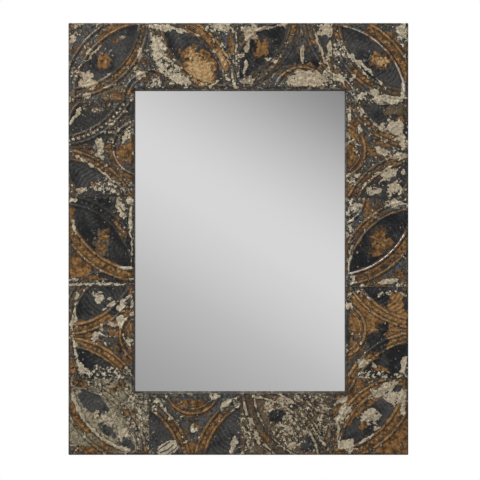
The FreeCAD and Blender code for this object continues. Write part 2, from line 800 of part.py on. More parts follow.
def screw(x, z, bearing):
    """A round-headed wood screw with a slot. Its head bears on a face at the given depth."""
    head, height, shank, length, point, slot, slot_depth = [
        size(f"Sizes.screw_{term}")
        for term in (
            "head_radius",
            "head_height",
            "shank_radius",
            "length",
            "point",
            "slot_width",
            "slot_depth",
        )
    ]
    seat = size(bearing) - size("Sizes.screw_clearance")
    at = FreeCAD.Vector(x, -seat, z)
    dome = (head * head + height * height) / (height + height)
    ball_middle = FreeCAD.Vector(x, height - dome - seat, z)
    cap = Part.makeSphere(dome, ball_middle).common(Part.makeCylinder(head, height, at, TO_WALL))
    made = cap.fuse(Part.makeCylinder(shank, length - point, at, TO_VIEWER))
    tip = FreeCAD.Vector(x, point - length - seat, z)
    made = made.fuse(Part.makeCone(shank, shank * TIP_SHARE, point, tip, TO_VIEWER))
    corner = FreeCAD.Vector(x - slot / 2, height - slot_depth - seat, z - head)
    return made.cut(Part.makeBox(slot, height, head + head, corner))


def screws(name, spots, bearing):
    return shaped(name, Part.makeCompound([screw(x, z, bearing) for x, z in spots]))


def screw_holes():
    radius = size("Sizes.screw_shank_radius + Sizes.screw_clearance")
    deep = size(f"{BACK} + Sizes.screw_length + Sizes.screw_clearance")
    spots = back_screw_spots() + hanger_screw_spots("left") + hanger_screw_spots("right")
    holes = [Part.makeCylinder(radius, deep, FreeCAD.Vector(x, 0, z), TO_VIEWER) for x, z in spots]
    return shaped("holes_for_screws", Part.makeCompound(holes))


holes_for_screws = screw_holes()


def board(name, left, right, bottom, top):
    """One board of the frame, with its rebate and holes."""
    region = block(name + "_region", left, right, bottom, top, "0", f"{FACE} + {BEYOND}")
    whole = common(name + "_whole", board_ring, region)
    rebated = cut(name + "_rebated", whole, rebate)
    drilled = cut(name + "_drilled", rebated, join(name + "_holes", [holes_for_dowels, holes_for_screws]))
    return cut(name, drilled, holes_for_nails)


OUTSIDE = (f"{LEFT} - {BEYOND}", f"{RIGHT} + {BEYOND}", f"{BOTTOM} - {BEYOND}", f"{TOP} + {BEYOND}")
STILE_INNER_LEFT = f"({SIGHT_LEFT} - {TIN})"
STILE_INNER_RIGHT = f"({SIGHT_RIGHT} + {TIN})"
RAIL_ENDS = (f"{STILE_INNER_LEFT} + {SEAT}", f"{STILE_INNER_RIGHT} - {SEAT}")
MIDDLE = "0"
nodes["left_stile"] = board("left_stile", OUTSIDE[0], STILE_INNER_LEFT, *OUTSIDE[2:])
nodes["right_stile"] = board("right_stile", STILE_INNER_RIGHT, *OUTSIDE[1:])
nodes["top_rail"] = board("top_rail", *RAIL_ENDS, MIDDLE, OUTSIDE[3])
nodes["bottom_rail"] = board("bottom_rail", *RAIL_ENDS, OUTSIDE[2], MIDDLE)
for joint in JOINTS:
    nodes[joint] = dowels(joint)


# The mirror glass, with a ground arris, and the hardboard behind it.
def slab_body(name, edges, back, thickness):
    body = doc.addObject("PartDesign::Body", name)
    sketch = new_sketch(body, name + "_outline", "XZ_Plane", back)
    rectangle(sketch, *edges)
    made = pad(body, name + "_slab", sketch, thickness)
    doc.recompute()
    return body, made


def edges_along(shape, axis, length):
    """The names of the edges of a given length along one axis."""
    found = []
    for index, edge in enumerate(shape.Edges, start=1):
        box = edge.BoundBox
        extent = {"x": box.XLength, "y": box.YLength, "z": box.ZLength}
        if abs(extent[axis] - length) < 1e-4 and abs(edge.Length - length) < 1e-4:
            found.append(f"Edge{index}")
    return found


glass, glass_slab = slab_body("mirror_glass", GLASS_EDGES, BACK, "Sizes.glass_thickness")
arris = glass.newObject("PartDesign::Chamfer", "mirror_glass_arris")
arris.Base = (glass_slab, edges_at_depth(glass_slab.Shape, size(GLASS_FRONT)))
arris.setExpression("Size", "Sizes.glass_arris")
nodes["mirror_glass"] = glass

hardboard, hardboard_slab = slab_body(
    "backing_board", BACK_EDGES, f"{BACK} - Sizes.back_thickness", "Sizes.back_thickness"
)
corners = hardboard.newObject("PartDesign::Fillet", "backing_board_corners")
corners.Base = (
    hardboard_slab,
    edges_along(hardboard_slab.Shape, "y", size("Sizes.back_thickness")),
)
corners.setExpression("Radius", "Sizes.back_corner_radius")
punched = new_sketch(hardboard, "backing_board_holes", "XZ_Plane", BACK)
left, right, bottom, top = BACK_EDGES
low = f"({bottom} + Sizes.back_screw_inset)"
high = f"({top} - Sizes.back_screw_inset)"
hole_radius = "Sizes.screw_shank_radius + Sizes.screw_clearance"
for column in (f"({left} + Sizes.back_screw_inset)", f"({right} - Sizes.back_screw_inset)"):
    for step in range(BACK_SCREW_ROWS):
        share = step / (BACK_SCREW_ROWS - 1)
        circle(punched, column, f"({low} + ({high} - {low}) * {share!r})", hole_radius)
for row in (low, high):
    circle(punched, f"(({left} + {right}) / 2)", row, hole_radius)
pocket(hardboard, "backing_board_drilling", punched, "Sizes.back_thickness")
nodes["backing_board"] = hardboard
nodes["back_screws"] = screws("back_screws", back_screw_spots(), f"{BACK} - Sizes.back_thickness")


# The strap hangers. A strap ends in an eye that holds the straight bar of its ring. The rings swing
# about upright axes and lie flat against the frame's back, pointing to the middle.
EYE_BORE = "(Sizes.ring_wire_radius + Sizes.ring_clearance)"
EYE_RADIUS = f"({EYE_BORE} + Sizes.strap_thickness)"
EYE_DEPTH = f"({BACK} - {EYE_RADIUS})"


def post(name, x, z, height, radius, depth):
    """An upright cylinder centred on a height."""
    made = doc.addObject("Part::Cylinder", name)
    return bind(
        made,
        Radius=radius,
        Height=height,
        Placement__Base__x=x,
        Placement__Base__y=f"-({depth})",
        Placement__Base__z=f"{z} - ({height}) / 2",
    )


def stub(name, x, z, back, front, radius):
    """A cylinder that points from the wall to the viewer."""
    made = doc.addObject("Part::Cylinder", name)
    made.Placement = FreeCAD.Placement(FreeCAD.Vector(), FreeCAD.Rotation(FreeCAD.Vector(1, 0, 0), 90))
    return bind(
        made,
        Radius=radius,
        Height=f"({front}) - ({back})",
        Placement__Base__x=x,
        Placement__Base__y=f"-({back})",
        Placement__Base__z=z,
    )


def strap(side):
    name = f"{side}_hanger_strap"
    eye, inward = eye_of(side)
    far = f"({eye} - {inward} * (Sizes.strap_length - Sizes.strap_width / 2))"
    near = f"({eye} - {inward} * {EYE_BORE})"
    left, right = (far, near) if inward > 0 else (near, far)
    low = f"{HANGER_HEIGHT} - Sizes.strap_width / 2"
    high = f"{HANGER_HEIGHT} + Sizes.strap_width / 2"
    plate_back = f"{BACK} - Sizes.strap_thickness"
    plate = block(name + "_plate", left, right, low, high, plate_back, BACK)
    end = stub(name + "_end", far, HANGER_HEIGHT, plate_back, BACK, "Sizes.strap_width / 2")
    tube = post(name + "_tube", eye, HANGER_HEIGHT, "Sizes.strap_width", EYE_RADIUS, EYE_DEPTH)
    bore = post(name + "_bore", eye, HANGER_HEIGHT, "Sizes.strap_width * 2", EYE_BORE, EYE_DEPTH)
    holes = [bore]
    for place in ("near", "far"):
        x = f"{eye} - {inward} * Sizes.strap_screw_{place}"
        holes.append(stub(f"{name}_hole_{place}", x, HANGER_HEIGHT, "0", FRONT, hole_radius))
    return cut(name, join(name + "_blank", [plate, end, tube]), join(name + "_holes", holes))


def quarter(name, x, z, radius, start, sweep):
    """A bend of the ring's wire, seen from the front."""
    made = torus(name, x, z, EYE_DEPTH, radius, "Sizes.ring_wire_radius")
    made.Angle3 = sweep
    made.Placement = made.Placement.multiply(
        FreeCAD.Placement(FreeCAD.Vector(), FreeCAD.Rotation(FreeCAD.Vector(0, 0, 1), start))
    )
    return made


def leg(name, x, z, length):
    """A level straight part of the ring's wire, which runs to the right."""
    made = doc.addObject("Part::Cylinder", name)
    made.Placement = FreeCAD.Placement(FreeCAD.Vector(), FreeCAD.Rotation(FreeCAD.Vector(0, 1, 0), 90))
    return bind(
        made,
        Radius="Sizes.ring_wire_radius",
        Height=length,
        Placement__Base__x=x,
        Placement__Base__y=f"-({EYE_DEPTH})",
        Placement__Base__z=z,
    )


RING_HALF = "(Sizes.ring_width / 2)"
BAR = "(Sizes.ring_width - Sizes.ring_corner_radius * 2)"
QUARTER_TURN = 90


def ring(side):
    name = f"{side}_hanger_ring"
    eye, inward = eye_of(side)
    parts = [post(name + "_bar", eye, HANGER_HEIGHT, BAR, "Sizes.ring_wire_radius", EYE_DEPTH)]
    bend = f"({eye} + {inward} * Sizes.ring_corner_radius)"
    end = f"({bend} + {inward} * Sizes.ring_leg_length)"
    low, high = f"({HANGER_HEIGHT} - {RING_HALF})", f"({HANGER_HEIGHT} + {RING_HALF})"
    first = bend if inward > 0 else end
    for label, z in (("low", low), ("high", high)):
        parts.append(leg(f"{name}_leg_{label}", first, z, "Sizes.ring_leg_length"))
    corner = "Sizes.ring_corner_radius"
    towards = (2, 1) if inward > 0 else (3, 0)
    for label, z, turns in (
        ("low", f"({low} + {corner})", towards[0]),
        ("high", f"({high} - {corner})", towards[1]),
    ):
        start = turns * QUARTER_TURN
        parts.append(quarter(f"{name}_bend_{label}", bend, z, corner, start, QUARTER_TURN))
    start = -QUARTER_TURN if inward > 0 else QUARTER_TURN
    parts.append(quarter(name + "_bow", end, HANGER_HEIGHT, RING_HALF, start, QUARTER_TURN * 2))
    return join(name, parts)


for side in HANGERS:
    nodes[f"{side}_hanger_strap"] = strap(side)
    nodes[f"{side}_hanger_ring"] = ring(side)
    spots = hanger_screw_spots(side)
    name = f"{side}_hanger_screws"
    nodes[name] = screws(name, spots, f"{BACK} - Sizes.strap_thickness")


# Bumpers: tapered rubber feet with a rounded rim.
def bumper(name, x, z):
    body = doc.addObject("Part::Cone", name + "_body")
    body.Placement = FreeCAD.Placement(FreeCAD.Vector(), FreeCAD.Rotation(FreeCAD.Vector(1, 0, 0), 90))
    bind(
        body,
        Radius1="Sizes.bumper_radius - Sizes.bumper_taper",
        Radius2="Sizes.bumper_radius",
        Height="Sizes.bumper_height",
        Placement__Base__x=x,
        Placement__Base__z=z,
    )
    doc.recompute()
    made = doc.addObject("Part::Fillet", name)
    made.Base = body
    radius = size("Sizes.bumper_rounding")
    rim = edges_at_depth(body.Shape, 0)
    made.Edges = [(int(edge[len("Edge"):]), radius, radius) for edge in rim]
    return made


for across_name, x in (
    ("left", f"({LEFT} + Sizes.bumper_inset)"),
    ("right", f"({RIGHT} - Sizes.bumper_inset)"),
):
    for up_name, z in (
        ("top", f"({TOP} - Sizes.bumper_inset)"),
        ("bottom", f"({BOTTOM} + Sizes.bumper_inset)"),
    ):
        name = f"bumper_{up_name}_{across_name}"
        nodes[name] = bumper(name, x, z)

nodes["face_nails"] = shaped("face_nails", Part.makeCompound([nail(x, z) for x, z in face_spots]))
nodes["edge_nails"] = shaped(
    "edge_nails", Part.makeCompound([edge_nail(x, z, inward) for x, z, inward in edge_spots])
)

doc.recompute()
os.makedirs("parts", exist_ok=True)
for name, made in nodes.items():
    made.Label = name
    assert "Invalid" not in made.State and "Error" not in made.State, name
    assert not made.Shape.isNull() and made.Shape.isValid(), name
    made.Shape.exportStep(f"parts/{name}.step")
    print(name, len(made.Shape.Solids), "solids", round(made.Shape.Volume), "cubic mm")
print(len(nodes), "nodes", len(face_spots), "face nails", len(edge_spots), "edge nails")
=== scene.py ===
import math

import bmesh
import bpy
import numpy as np
from bpy.props import FloatProperty, IntProperty, PointerProperty, StringProperty
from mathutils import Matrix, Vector


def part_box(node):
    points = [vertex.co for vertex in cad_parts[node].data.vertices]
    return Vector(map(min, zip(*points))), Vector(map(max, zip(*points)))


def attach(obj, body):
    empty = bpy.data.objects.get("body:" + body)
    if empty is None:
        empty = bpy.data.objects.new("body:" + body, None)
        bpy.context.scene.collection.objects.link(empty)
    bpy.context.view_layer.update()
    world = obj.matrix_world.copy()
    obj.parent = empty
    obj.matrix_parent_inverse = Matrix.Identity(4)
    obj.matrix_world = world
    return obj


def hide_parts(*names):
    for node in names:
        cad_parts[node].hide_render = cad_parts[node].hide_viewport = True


bl_info = {
    "name": "Wall mirror in old pressed tin",
    "version": (1, 0, 0),
    "blender": (4, 5, 0),
    "location": "View3D > Sidebar > Tin mirror",
    "description": "Presses, paints and rusts the tin pieces of a wall mirror and lights it",
    "category": "Object",
}

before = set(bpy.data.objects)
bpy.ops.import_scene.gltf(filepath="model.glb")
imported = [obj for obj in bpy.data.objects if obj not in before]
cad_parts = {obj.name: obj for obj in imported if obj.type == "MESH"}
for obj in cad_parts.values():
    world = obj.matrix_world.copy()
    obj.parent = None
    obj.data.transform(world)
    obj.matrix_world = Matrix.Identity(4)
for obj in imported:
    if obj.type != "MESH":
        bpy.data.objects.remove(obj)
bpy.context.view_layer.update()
MM = 0.001


def box_mm(node):
    """A node's lowest and highest corners, in millimetres."""
    return [[value / MM for value in corner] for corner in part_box(node)]


# The frame's outer edges and the sight edges of its opening, over the tin, in millimetres.
SHEET = 0.5
LEFT = box_mm("left_stile")[0][0] - SHEET
RIGHT = box_mm("right_stile")[1][0] + SHEET
TOP = box_mm("left_stile")[1][2] + SHEET
BOTTOM = box_mm("left_stile")[0][2] - SHEET
SIGHT = {
    "left": box_mm("left_stile")[1][0] + SHEET - LEFT,
    "right": box_mm("right_stile")[0][0] - SHEET - LEFT,
    "top": TOP - box_mm("top_rail")[0][2] + SHEET,
    "bottom": TOP - box_mm("bottom_rail")[1][2] - SHEET,
}
WIDTH = RIGHT - LEFT
HEIGHT = TOP - BOTTOM
TIN_FACE = -box_mm("left_stile")[0][1] + SHEET


def linear(code):
    """A colour written as sRGB hex, turned to linear light."""
    levels = [int(code[i : i + 2], 16) / 255 for i in (1, 3, 5)]
    bent = [v / 12.92 if v <= 0.04045 else ((v + 0.055) / 1.055) ** 2.4 for v in levels]
    return (*bent, 1.0)


class TinSizes(bpy.types.PropertyGroup):
    """The pressed sheet and its pattern."""

    cell: FloatProperty(name="Cell", description="Spacing of the sheet's mesh, mm", default=0.72, min=0.4)
    bend: FloatProperty(name="Bend", description="Outside radius of the folds, mm", default=1.6)
    outer_fold: FloatProperty(name="Outer fold", description="Tin down the outer side, mm", default=17.0)
    inner_fold: FloatProperty(name="Inner fold", description="Tin down the sight edge, mm", default=13.0)
    half_repeat: FloatProperty(name="Half repeat", description="Half of 12 inches, mm", default=152.4)
    ring: FloatProperty(name="Medallion ring", description="Radius of its ridge, mm", default=50.0)
    great_inner: FloatProperty(name="Great ring, inner", description="Inner radius, mm", default=142.0)
    great_outer: FloatProperty(name="Great ring, outer", description="Outer radius, mm", default=161.6)
    arc_inner: FloatProperty(name="Leaf arc, inner", description="Inner radius, mm", default=133.0)
    arc_outer: FloatProperty(name="Leaf arc, outer", description="Outer radius, mm", default=149.0)
    bead_pitch: FloatProperty(name="Bead pitch", description="Spacing of the beads, mm", default=12.0)
    flute_pitch: FloatProperty(name="Flute pitch", description="Spacing of the flutes, mm", default=7.5)
    rosette: FloatProperty(name="Flower", description="Radius of the flower in a leaf, mm", default=17.0)
    seed: IntProperty(name="Seed", description="Seed of the wear", default=11)


class TinColours(bpy.types.PropertyGroup):
    """Colours of the worn finish, as sRGB hex."""

    steel_dark: StringProperty(name="Bare steel, dark", description="Old bare sheet", default="#302E2B")
    steel_light: StringProperty(name="Bare steel, light", description="Paler bare sheet", default="#5C5850")
    steel_blue: StringProperty(name="Bare steel, blued", description="Blue-grey clouds", default="#4A535C")
    leaf_dark: StringProperty(name="Leaf, dark", description="Clean sheet in a leaf", default="#202123")
    leaf_light: StringProperty(name="Leaf, light", description="Its lighter clouds", default="#484745")
    grime: StringProperty(name="Grime", description="Dirt and old glue", default="#4A4137")
    umber: StringProperty(name="Dull brown", description="Thin brown rust on the bands", default="#64543F")
    rust_dark: StringProperty(name="Rust, dark", description="Thick old rust", default="#46311D")
    rust_light: StringProperty(name="Rust, light", description="Orange-tan rust", default="#835F36")
    tan: StringProperty(name="Tan rust", description="The brightest rust in a patch", default="#A78A62")
    paint: StringProperty(name="Cream paint", description="What is left of the paint", default="#B1A68F")
    paint_dirty: StringProperty(name="Dirty paint", description="The same paint, soiled", default="#8B8271")
    stain: StringProperty(name="Stained paint", description="Rust soaked into the paint", default="#84694A")
    chip: StringProperty(name="Small chip", description="Thick pale flecks of paint", default="#C3B9A1")
    wash: StringProperty(name="Thin paint", description="A thin greyish film of paint", default="#938970")
    # Rubbed paint on crests, which is also a painted highlight along them.
    rubbed_paint_and_highlight: StringProperty(name="Rubbed crest", description="Rubbed paint on a ridge", default="#B2AEA2")
    # Painted highlight: a bright line painted along some ridge crests.
    shine: StringProperty(name="Polished crest", description="Bright metal on crests", default="#B6BABE")
    # Painted shade: the dark line round paint and flecks, hollows, grooves, flute troughs and shadow lines.
    painted_shade: StringProperty(name="Chip edge", description="The dark line round paint", default="#2A2825")


class StageSettings(bpy.types.PropertyGroup):
    """Lamps, camera and floor."""

    distance: FloatProperty(
        name="Camera distance", description="From the frame's face", default=2.0, unit="LENGTH"
    )
    view_width: FloatProperty(
        name="View width", description="Of the picture, at the frame's face", default=0.8863, unit="LENGTH"
    )
    off_across: FloatProperty(name="Across", description="Camera right of the middle, mm", default=2.95)
    off_up: FloatProperty(name="Up", description="Camera above the middle, mm", default=-1.85)
    key: FloatProperty(name="Key lamp", description="Power in watts", default=76.0)
    fill: FloatProperty(name="Fill lamp", description="Power in watts", default=14.0)
    low: FloatProperty(name="Low lamp", description="Power in watts", default=6.0)
    world: FloatProperty(name="World light", description="Strength on the object", default=0.24)
    card: FloatProperty(name="Card light", description="Strength of the mirror's card", default=1.165)


# Where each piece's pattern lies and how the piece has aged, all in millimetres across and down
# from the frame's top left corner:
# - medallion is the middle of its medallion, and leaves are the ways that its leaves lie from
#   there, across and down, with the depth of their flutes, which are mostly flattened or filled;
# - chips, brown, blued, bright and deep are shares of stray paint chips, of brown stain, of blued
#   steel, of bright crest lines, which are rubbed paint and painted highlight, and of dark old rust;
# - pale is how pale its bare leaf is, and soiled how brown its paint has gone;
# - spots are patches of a layer, some on one zone of the pattern alone: middle, half width, half
#   height and turn in degrees;
# - streaks are lines of a layer: both ends and the width.
PIECES = {
    "tin_top_left_corner": {
        "medallion": (152.0, 141.1),
        "leaves": [(-1, -1, 0.12)],
        "chips": 0.0,
        "brown": 0.35,
        "blued": 0.7,
        "bright": 0.1,
        "deep": 0.4,
        "pale": 0.6,
        "soiled": 0.5,
        "spots": {
            "cream": [
                (32, 104, 18, 14, 30), (40, 53, 7, 3, -30), (8, 30, 5, 7, 0), (99, 25, 7, 2, -10),
                (132, 95, 8, 6, 20), (132, 59, 4, 12, 0), (77, 118, 11, 2.5, -20), (35, 136, 8, 4, -15),
                (74, 94, 3, 2, 0),
            ],
            "rust": [(90, 32, 10, 4, -30), (90, 134, 14, 7, 10), (118, 126, 9, 5, -30)],
            "rust on leaf": [(65, 70, 11, 15, 0)],
            "umber": [(86, 130, 30, 15, 10)],
            "flecks": [(128, 134, 18, 12, 0)],
            "bare on leaf": [(90, 60, 50, 36, -40)],
            "umber on wide_arc": [(98, 84, 56, 60, 0)],
            "plain on great": [(20, 100, 50, 70, 20)],
            "gap on arc_shadow": [(118, 66, 30, 60, 30)],
        },
        "streaks": {
            "cream": [(6, 96, 58, 42, 3)],
            "rust on great": [(61, 31, 90, 5, 9)],
            "rust on arc": [(130, 36, 84, 104, 7)],
        },
    },
    "tin_top_left": {
        "medallion": (150.0, 137.2),
        "leaves": [(1, -1, 0.16)],
        "chips": 0.45,
        "brown": 0.2,
        "blued": 0.8,
        "bright": 0.2,
        "deep": 0.3,
        "pale": 0.6,
        "soiled": 0.12,
        "spots": {
            "tan": [(243, 88, 23, 25, -20), (228, 62, 9, 9, 0)],
            "cut on great_ridge": [(265, 60, 40, 60, 0)],
            "tan on great": [(285, 62, 12, 26, 10)],
            "cream": [
                (175, 8, 23, 6, 8), (206, 15, 11, 4, 15), (165, 52, 14, 30, -12), (188, 88, 20, 19, 20),
                (205, 106, 14, 9, 0), (281, 8, 24, 9, 0),
            ],
            "rust": [(243, 86, 30, 33, -20), (226, 60, 15, 16, 0), (301, 38, 3.5, 20, 0)],
            "rust on great": [(262, 40, 50, 58, 0)],
            "holes": [(178, 85, 30, 34, 0), (281, 8, 26, 10, 0)],
            "bare on leaf": [(215, 38, 30, 26, 0)],
            "flecks": [(160, 110, 14, 14, 0)],
        },
        "streaks": {
            "rust": [(168, 40, 195, 78, 5)],
            "cream": [(311, 2, 309, 80, 2.4), (286, 100, 262, 118, 3), (299, 86, 308, 119, 2)],
            "umber on arc": [(160, 20, 240, 118, 10)],
        },
    },
    "tin_top_right": {
        "medallion": (430.3, 132.1),
        "leaves": [(-1, -1, 0.24), (1, -1, 0.1)],
        "chips": 0.2,
        "brown": 0.35,
        "blued": 0.7,
        "bright": 0.1,
        "deep": 0.4,
        "pale": 0.5,
        "soiled": 0.36,
        "spots": {
            "cream": [
                (335, 15, 11, 14, 15), (431, 59, 3.5, 17, 3), (377, 70, 11, 3.5, 25),
                (446, 104, 36, 15, 0), (474, 12, 13, 16, 20), (481, 50, 5, 18, 0), (326, 81, 4, 17, 5),
                (330, 108, 10, 7, 0),
            ],
            "rust": [(354, 49, 11, 15, 20), (419, 10, 7, 8, 0)],
            "rust on ring": [(411, 92, 22, 16, 0)],
            "bare on leaf": [(372, 38, 34, 34, 0)],
            "umber on wide_arc": [(386, 58, 60, 74, 0)],
            "gap on arc_shadow": [(386, 58, 60, 74, 0)],
            "gap on arc_flank": [(386, 58, 60, 74, 0)],
            "cut": [(406, 62, 13, 20, 25), (455, 60, 10, 22, -20), (430, 66, 28, 12, 0)],
            "umber on arc": [(462, 46, 34, 66, 0)],
            "flecks": [(480, 100, 14, 20, 0)],
        },
        "streaks": {
            "cream": [(338, 14, 400, 2, 4.5), (340, 17, 322, 60, 5), (450, 8, 480, 82, 3)],
        },
    },
    "tin_top_right_corner": {
        "medallion": (480.7, 144.9),
        "leaves": [(1, -1, 0.26)],
        "chips": 0.25,
        "brown": 0.35,
        "blued": 0.6,
        "bright": 0.3,
        "deep": 0.4,
        "pale": 0.7,
        "soiled": 0.0,
        "spots": {
            "gap on great_shadow": [(590, 60, 40, 66, 0)],
            "shine on great_line": [(545, 27, 44, 30, 25), (612, 105, 14, 44, 0)],
            "shine on ring_line": [(518, 115, 12, 16, 0)],
            "tan": [(575, 70, 12, 9, 15)],
            "rust on great": [(590, 45, 48, 62, 0)],
            "cream": [
                (614, 14, 9, 12, 0), (590, 141, 32, 7, 0), (567, 131, 6, 12, -30), (618, 118, 3.5, 22, 0),
                (542, 136, 10, 6, -20), (496, 101, 12, 5, 25),
            ],
            "rust": [(573, 70, 17, 14, 15), (490, 90, 8, 6, 0)],
            "flecks": [(500, 52, 13, 28, -20), (618, 20, 12, 26, 0)],
            "bare on leaf": [(560, 70, 40, 50, 0)],
            "cut": [(505, 77, 7, 14, -25)],
        },
        "streaks": {
            "cream": [
                (504, 42, 554, 103, 3.6), (523, 59, 576, 112, 4), (499, 102, 524, 134, 2),
                (494, 31, 512, 60, 3),
            ],
            "rust": [(528, 87, 560, 116, 4)],
            "umber on arc": [(500, 30, 600, 140, 8)],
        },
    },
    "tin_left_upper": {
        "medallion": (133.2, 230.2),
        "leaves": [(-1, -1, 0.3), (-1, 1, 0.3)],
        "chips": 0.3,
        "brown": 0.6,
        "blued": 1.0,
        "bright": 0.25,
        "deep": 0.45,
        "pale": 0.75,
        "soiled": 0.2,
        "spots": {
            "shine on ring_line": [(92, 258, 16, 26, 0)],
            "plain on wide_arc": [(60, 178, 70, 40, -33)],
            "cream on tops": [(60, 178, 70, 46, -33)],
            "flecks": [(52, 178, 62, 22, -33), (98, 194, 26, 26, 0)],
            "cream": [
                (57, 228, 6.5, 18, -5), (62, 247, 6, 3, 20), (103, 212, 4, 12, 20), (24, 310, 8, 6, 0),
            ],
            "rust": [(24, 231, 19, 13, 0), (75, 228, 12, 10, 0), (108, 244, 6, 9, 0), (46, 299, 9, 4, 0)],
            "rust on ring": [(88, 240, 20, 34, 0)],
            "leaf_flecks": [(82, 300, 44, 16, 0), (62, 154, 42, 11, 0)],
            "wash": [(104, 196, 20, 22, -30)],
            "umber": [(66, 152, 46, 13, -6)],
            "bare on leaf": [(28, 195, 28, 20, 0), (30, 278, 30, 22, 0)],
        },
        "streaks": {
            "cream": [(24, 157, 3, 185, 4), (12, 247, 52, 268, 4), (52, 268, 93, 298, 3.5)],
            "rust": [(46, 251, 99, 292, 9)],
            "umber on arc": [(100, 150, 2, 214, 14)],
        },
    },
    "tin_left_middle": {
        "medallion": (139.3, 315.5),
        "leaves": [(-1, 1, 0.14)],
        "chips": 0.15,
        "brown": 0.15,
        "blued": 0.1,
        "bright": 0.1,
        "deep": 0.35,
        "pale": 0.1,
        "soiled": 0.0,
        "spots": {
            "cream": [
                (9, 327, 9, 5, 0), (12, 379, 3, 12, -15), (98, 342, 7, 21, -28), (115, 365, 3, 26, 0),
                (114, 330, 6, 6, 0), (108, 453, 12, 3.5, 5), (9, 474, 9, 3, 0),
            ],
            "umber": [(64, 398, 15, 20, 10), (58, 426, 12, 8, 40)],
            "rust": [
                (68, 392, 9, 10, 10), (60, 414, 6, 6, 40), (20, 452, 24, 20, 30), (46, 470, 16, 5, 8),
            ],
            "rust on great": [(60, 430, 80, 90, 0)],
            "cut on arc": [(50, 345, 44, 34, 0), (116, 420, 16, 34, 0)],
            "bare": [(62, 352, 60, 30, 20), (70, 468, 30, 14, 10)],
            "gap on crests": [(52, 342, 60, 24, 16)],
        },
        "streaks": {
            "rust": [(3, 338, 18, 398, 5), (77, 354, 108, 396, 8)],
            "cream": [(117, 392, 117, 450, 2.5), (1, 484, 120, 481, 2.5)],
        },
    },
    "tin_left_lower": {
        "medallion": (146.1, 578.4),
        "leaves": [(-1, -1, 0.42), (-1, 1, 0.32)],
        "chips": 0.3,
        "brown": 0.6,
        "blued": 0.6,
        "bright": 0.2,
        "deep": 0.3,
        "pale": 0.38,
        "soiled": 0.0,
        "spots": {
            "cream": [
                (24, 638, 6, 10, -30), (57, 508, 13, 9, 15), (98, 524, 8, 12, -20), (117, 515, 3, 12, 0),
                (78, 556, 9, 5.5, 20), (63, 561, 4, 8, 0), (51, 573, 5, 9, 15), (98, 551, 7, 13, 0),
                (112, 588, 4, 4, 0),
            ],
            "rust on arc": [(50, 548, 46, 24, -20)],
            "cut on arc": [(97, 519, 30, 26, 0)],
            "gap on crests": [(100, 516, 26, 22, 0)],
            "rust on ring": [(98, 585, 14, 30, 0)],
            "rust": [
                (112, 564, 7, 11, 0), (84, 574, 13, 7, 0), (36, 570, 26, 15, 25), (88, 566, 15, 10, 0),
                (10, 638, 5, 9, 0),
            ],
            "leaf_flecks": [(66, 647, 58, 13, 0)],
            "bare on leaf": [(35, 525, 34, 26, 0), (45, 615, 34, 22, 0)],
        },
        "streaks": {
            "cream": [
                (16, 500, 6, 564, 5.5), (6, 564, 18, 632, 4.5), (67, 527, 99, 510, 4.5),
                (104, 512, 116, 500, 3), (104, 549, 122, 536, 4), (101, 576, 117, 604, 2.2),
                (46, 583, 57, 571, 5), (57, 571, 75, 580, 3.5),
            ],
            "umber": [(100, 504, 122, 496, 5)],
            "rust": [(10, 572, 104, 632, 20), (84, 556, 114, 606, 11)],
            "cut": [(90, 585, 98, 608, 6)],
        },
    },
    "tin_right_upper": {
        "medallion": (498.1, 234.8),
        "leaves": [(1, -1, 0.2), (1, 1, 0.3)],
        "chips": 0.4,
        "brown": 0.6,
        "blued": 0.5,
        "bright": 0.25,
        "deep": 0.4,
        "pale": 0.5,
        "soiled": 0.22,
        "spots": {
            "cut on tops": [(580, 290, 60, 46, 0)],
            "flecks": [
                (520, 240, 8, 90, 0), (524, 225, 14, 16, 0), (569, 161, 50, 9, 0), (528, 293, 14, 20, 0),
            ],
            "rust on ring": [(525, 240, 34, 40, 0)],
            "rust": [(526, 245, 13, 20, 0), (612, 180, 9, 7, 20)],
            "cream": [
                (533, 240, 4.5, 4.5, 0), (602, 192, 22, 15, 20), (616, 218, 9, 18, 0),
                (577, 238, 13, 7, 15), (612, 247, 13, 5, 0), (590, 279, 13, 9, -20), (619, 278, 5, 5, 0),
                (602, 305, 13, 10, -20), (566, 309, 15, 7, -10), (538, 198, 4, 8, 0),
            ],
            "umber": [(602, 162, 22, 11, 0)],
        },
        "streaks": {
            "rust": [(545, 176, 606, 226, 8), (541, 305, 625, 250, 6)],
            "cream": [(543, 300, 624, 244, 1.8), (548, 311, 627, 258, 1.8), (560, 179, 580, 200, 4.5)],
        },
    },
    "tin_right_middle": {
        "medallion": (495.8, 322.7),
        "leaves": [(1, 1, 0.16)],
        "chips": 0.25,
        "brown": 0.4,
        "blued": 0.9,
        "bright": 0.25,
        "deep": 0.4,
        "pale": 0.1,
        "soiled": 0.0,
        "spots": {
            "cut on tops": [(575, 440, 70, 70, 0)],
            "flecks": [(521, 400, 7, 90, 0), (524, 342, 14, 12, 0), (530, 470, 18, 14, 0)],
            "gap on great_shadow": [(575, 435, 60, 50, 0)],
            "shine on great_line": [(590, 425, 40, 50, 0), (540, 455, 24, 16, 0)],
            "cream": [(606, 333, 19, 6, 0), (532, 338, 13, 6, -30), (590, 476, 20, 4, -8)],
            "rust": [
                (575, 393, 12, 12, 0), (579, 406, 16, 16, 10), (569, 425, 14, 7, 0),
                (608, 466, 15, 8, -20),
            ],
            "rust on great": [(585, 440, 60, 70, 0)],
            "bare on leaf": [(570, 400, 60, 60, 0)],
        },
        "streaks": {
            "cream": [(515, 352, 532, 338, 4)],
            "rust": [(576, 339, 531, 393, 10), (538, 400, 522, 428, 4)],
        },
    },
    "tin_right_lower": {
        "medallion": (498.1, 567.3),
        "leaves": [(1, -1, 0.55), (1, 1, 0.14)],
        "chips": 0.2,
        "brown": 0.45,
        "blued": 0.2,
        "bright": 0.1,
        "deep": 0.0,
        "pale": 0.1,
        "soiled": 0.0,
        "spots": {
            "flecks": [(556, 502, 50, 12, 0)],
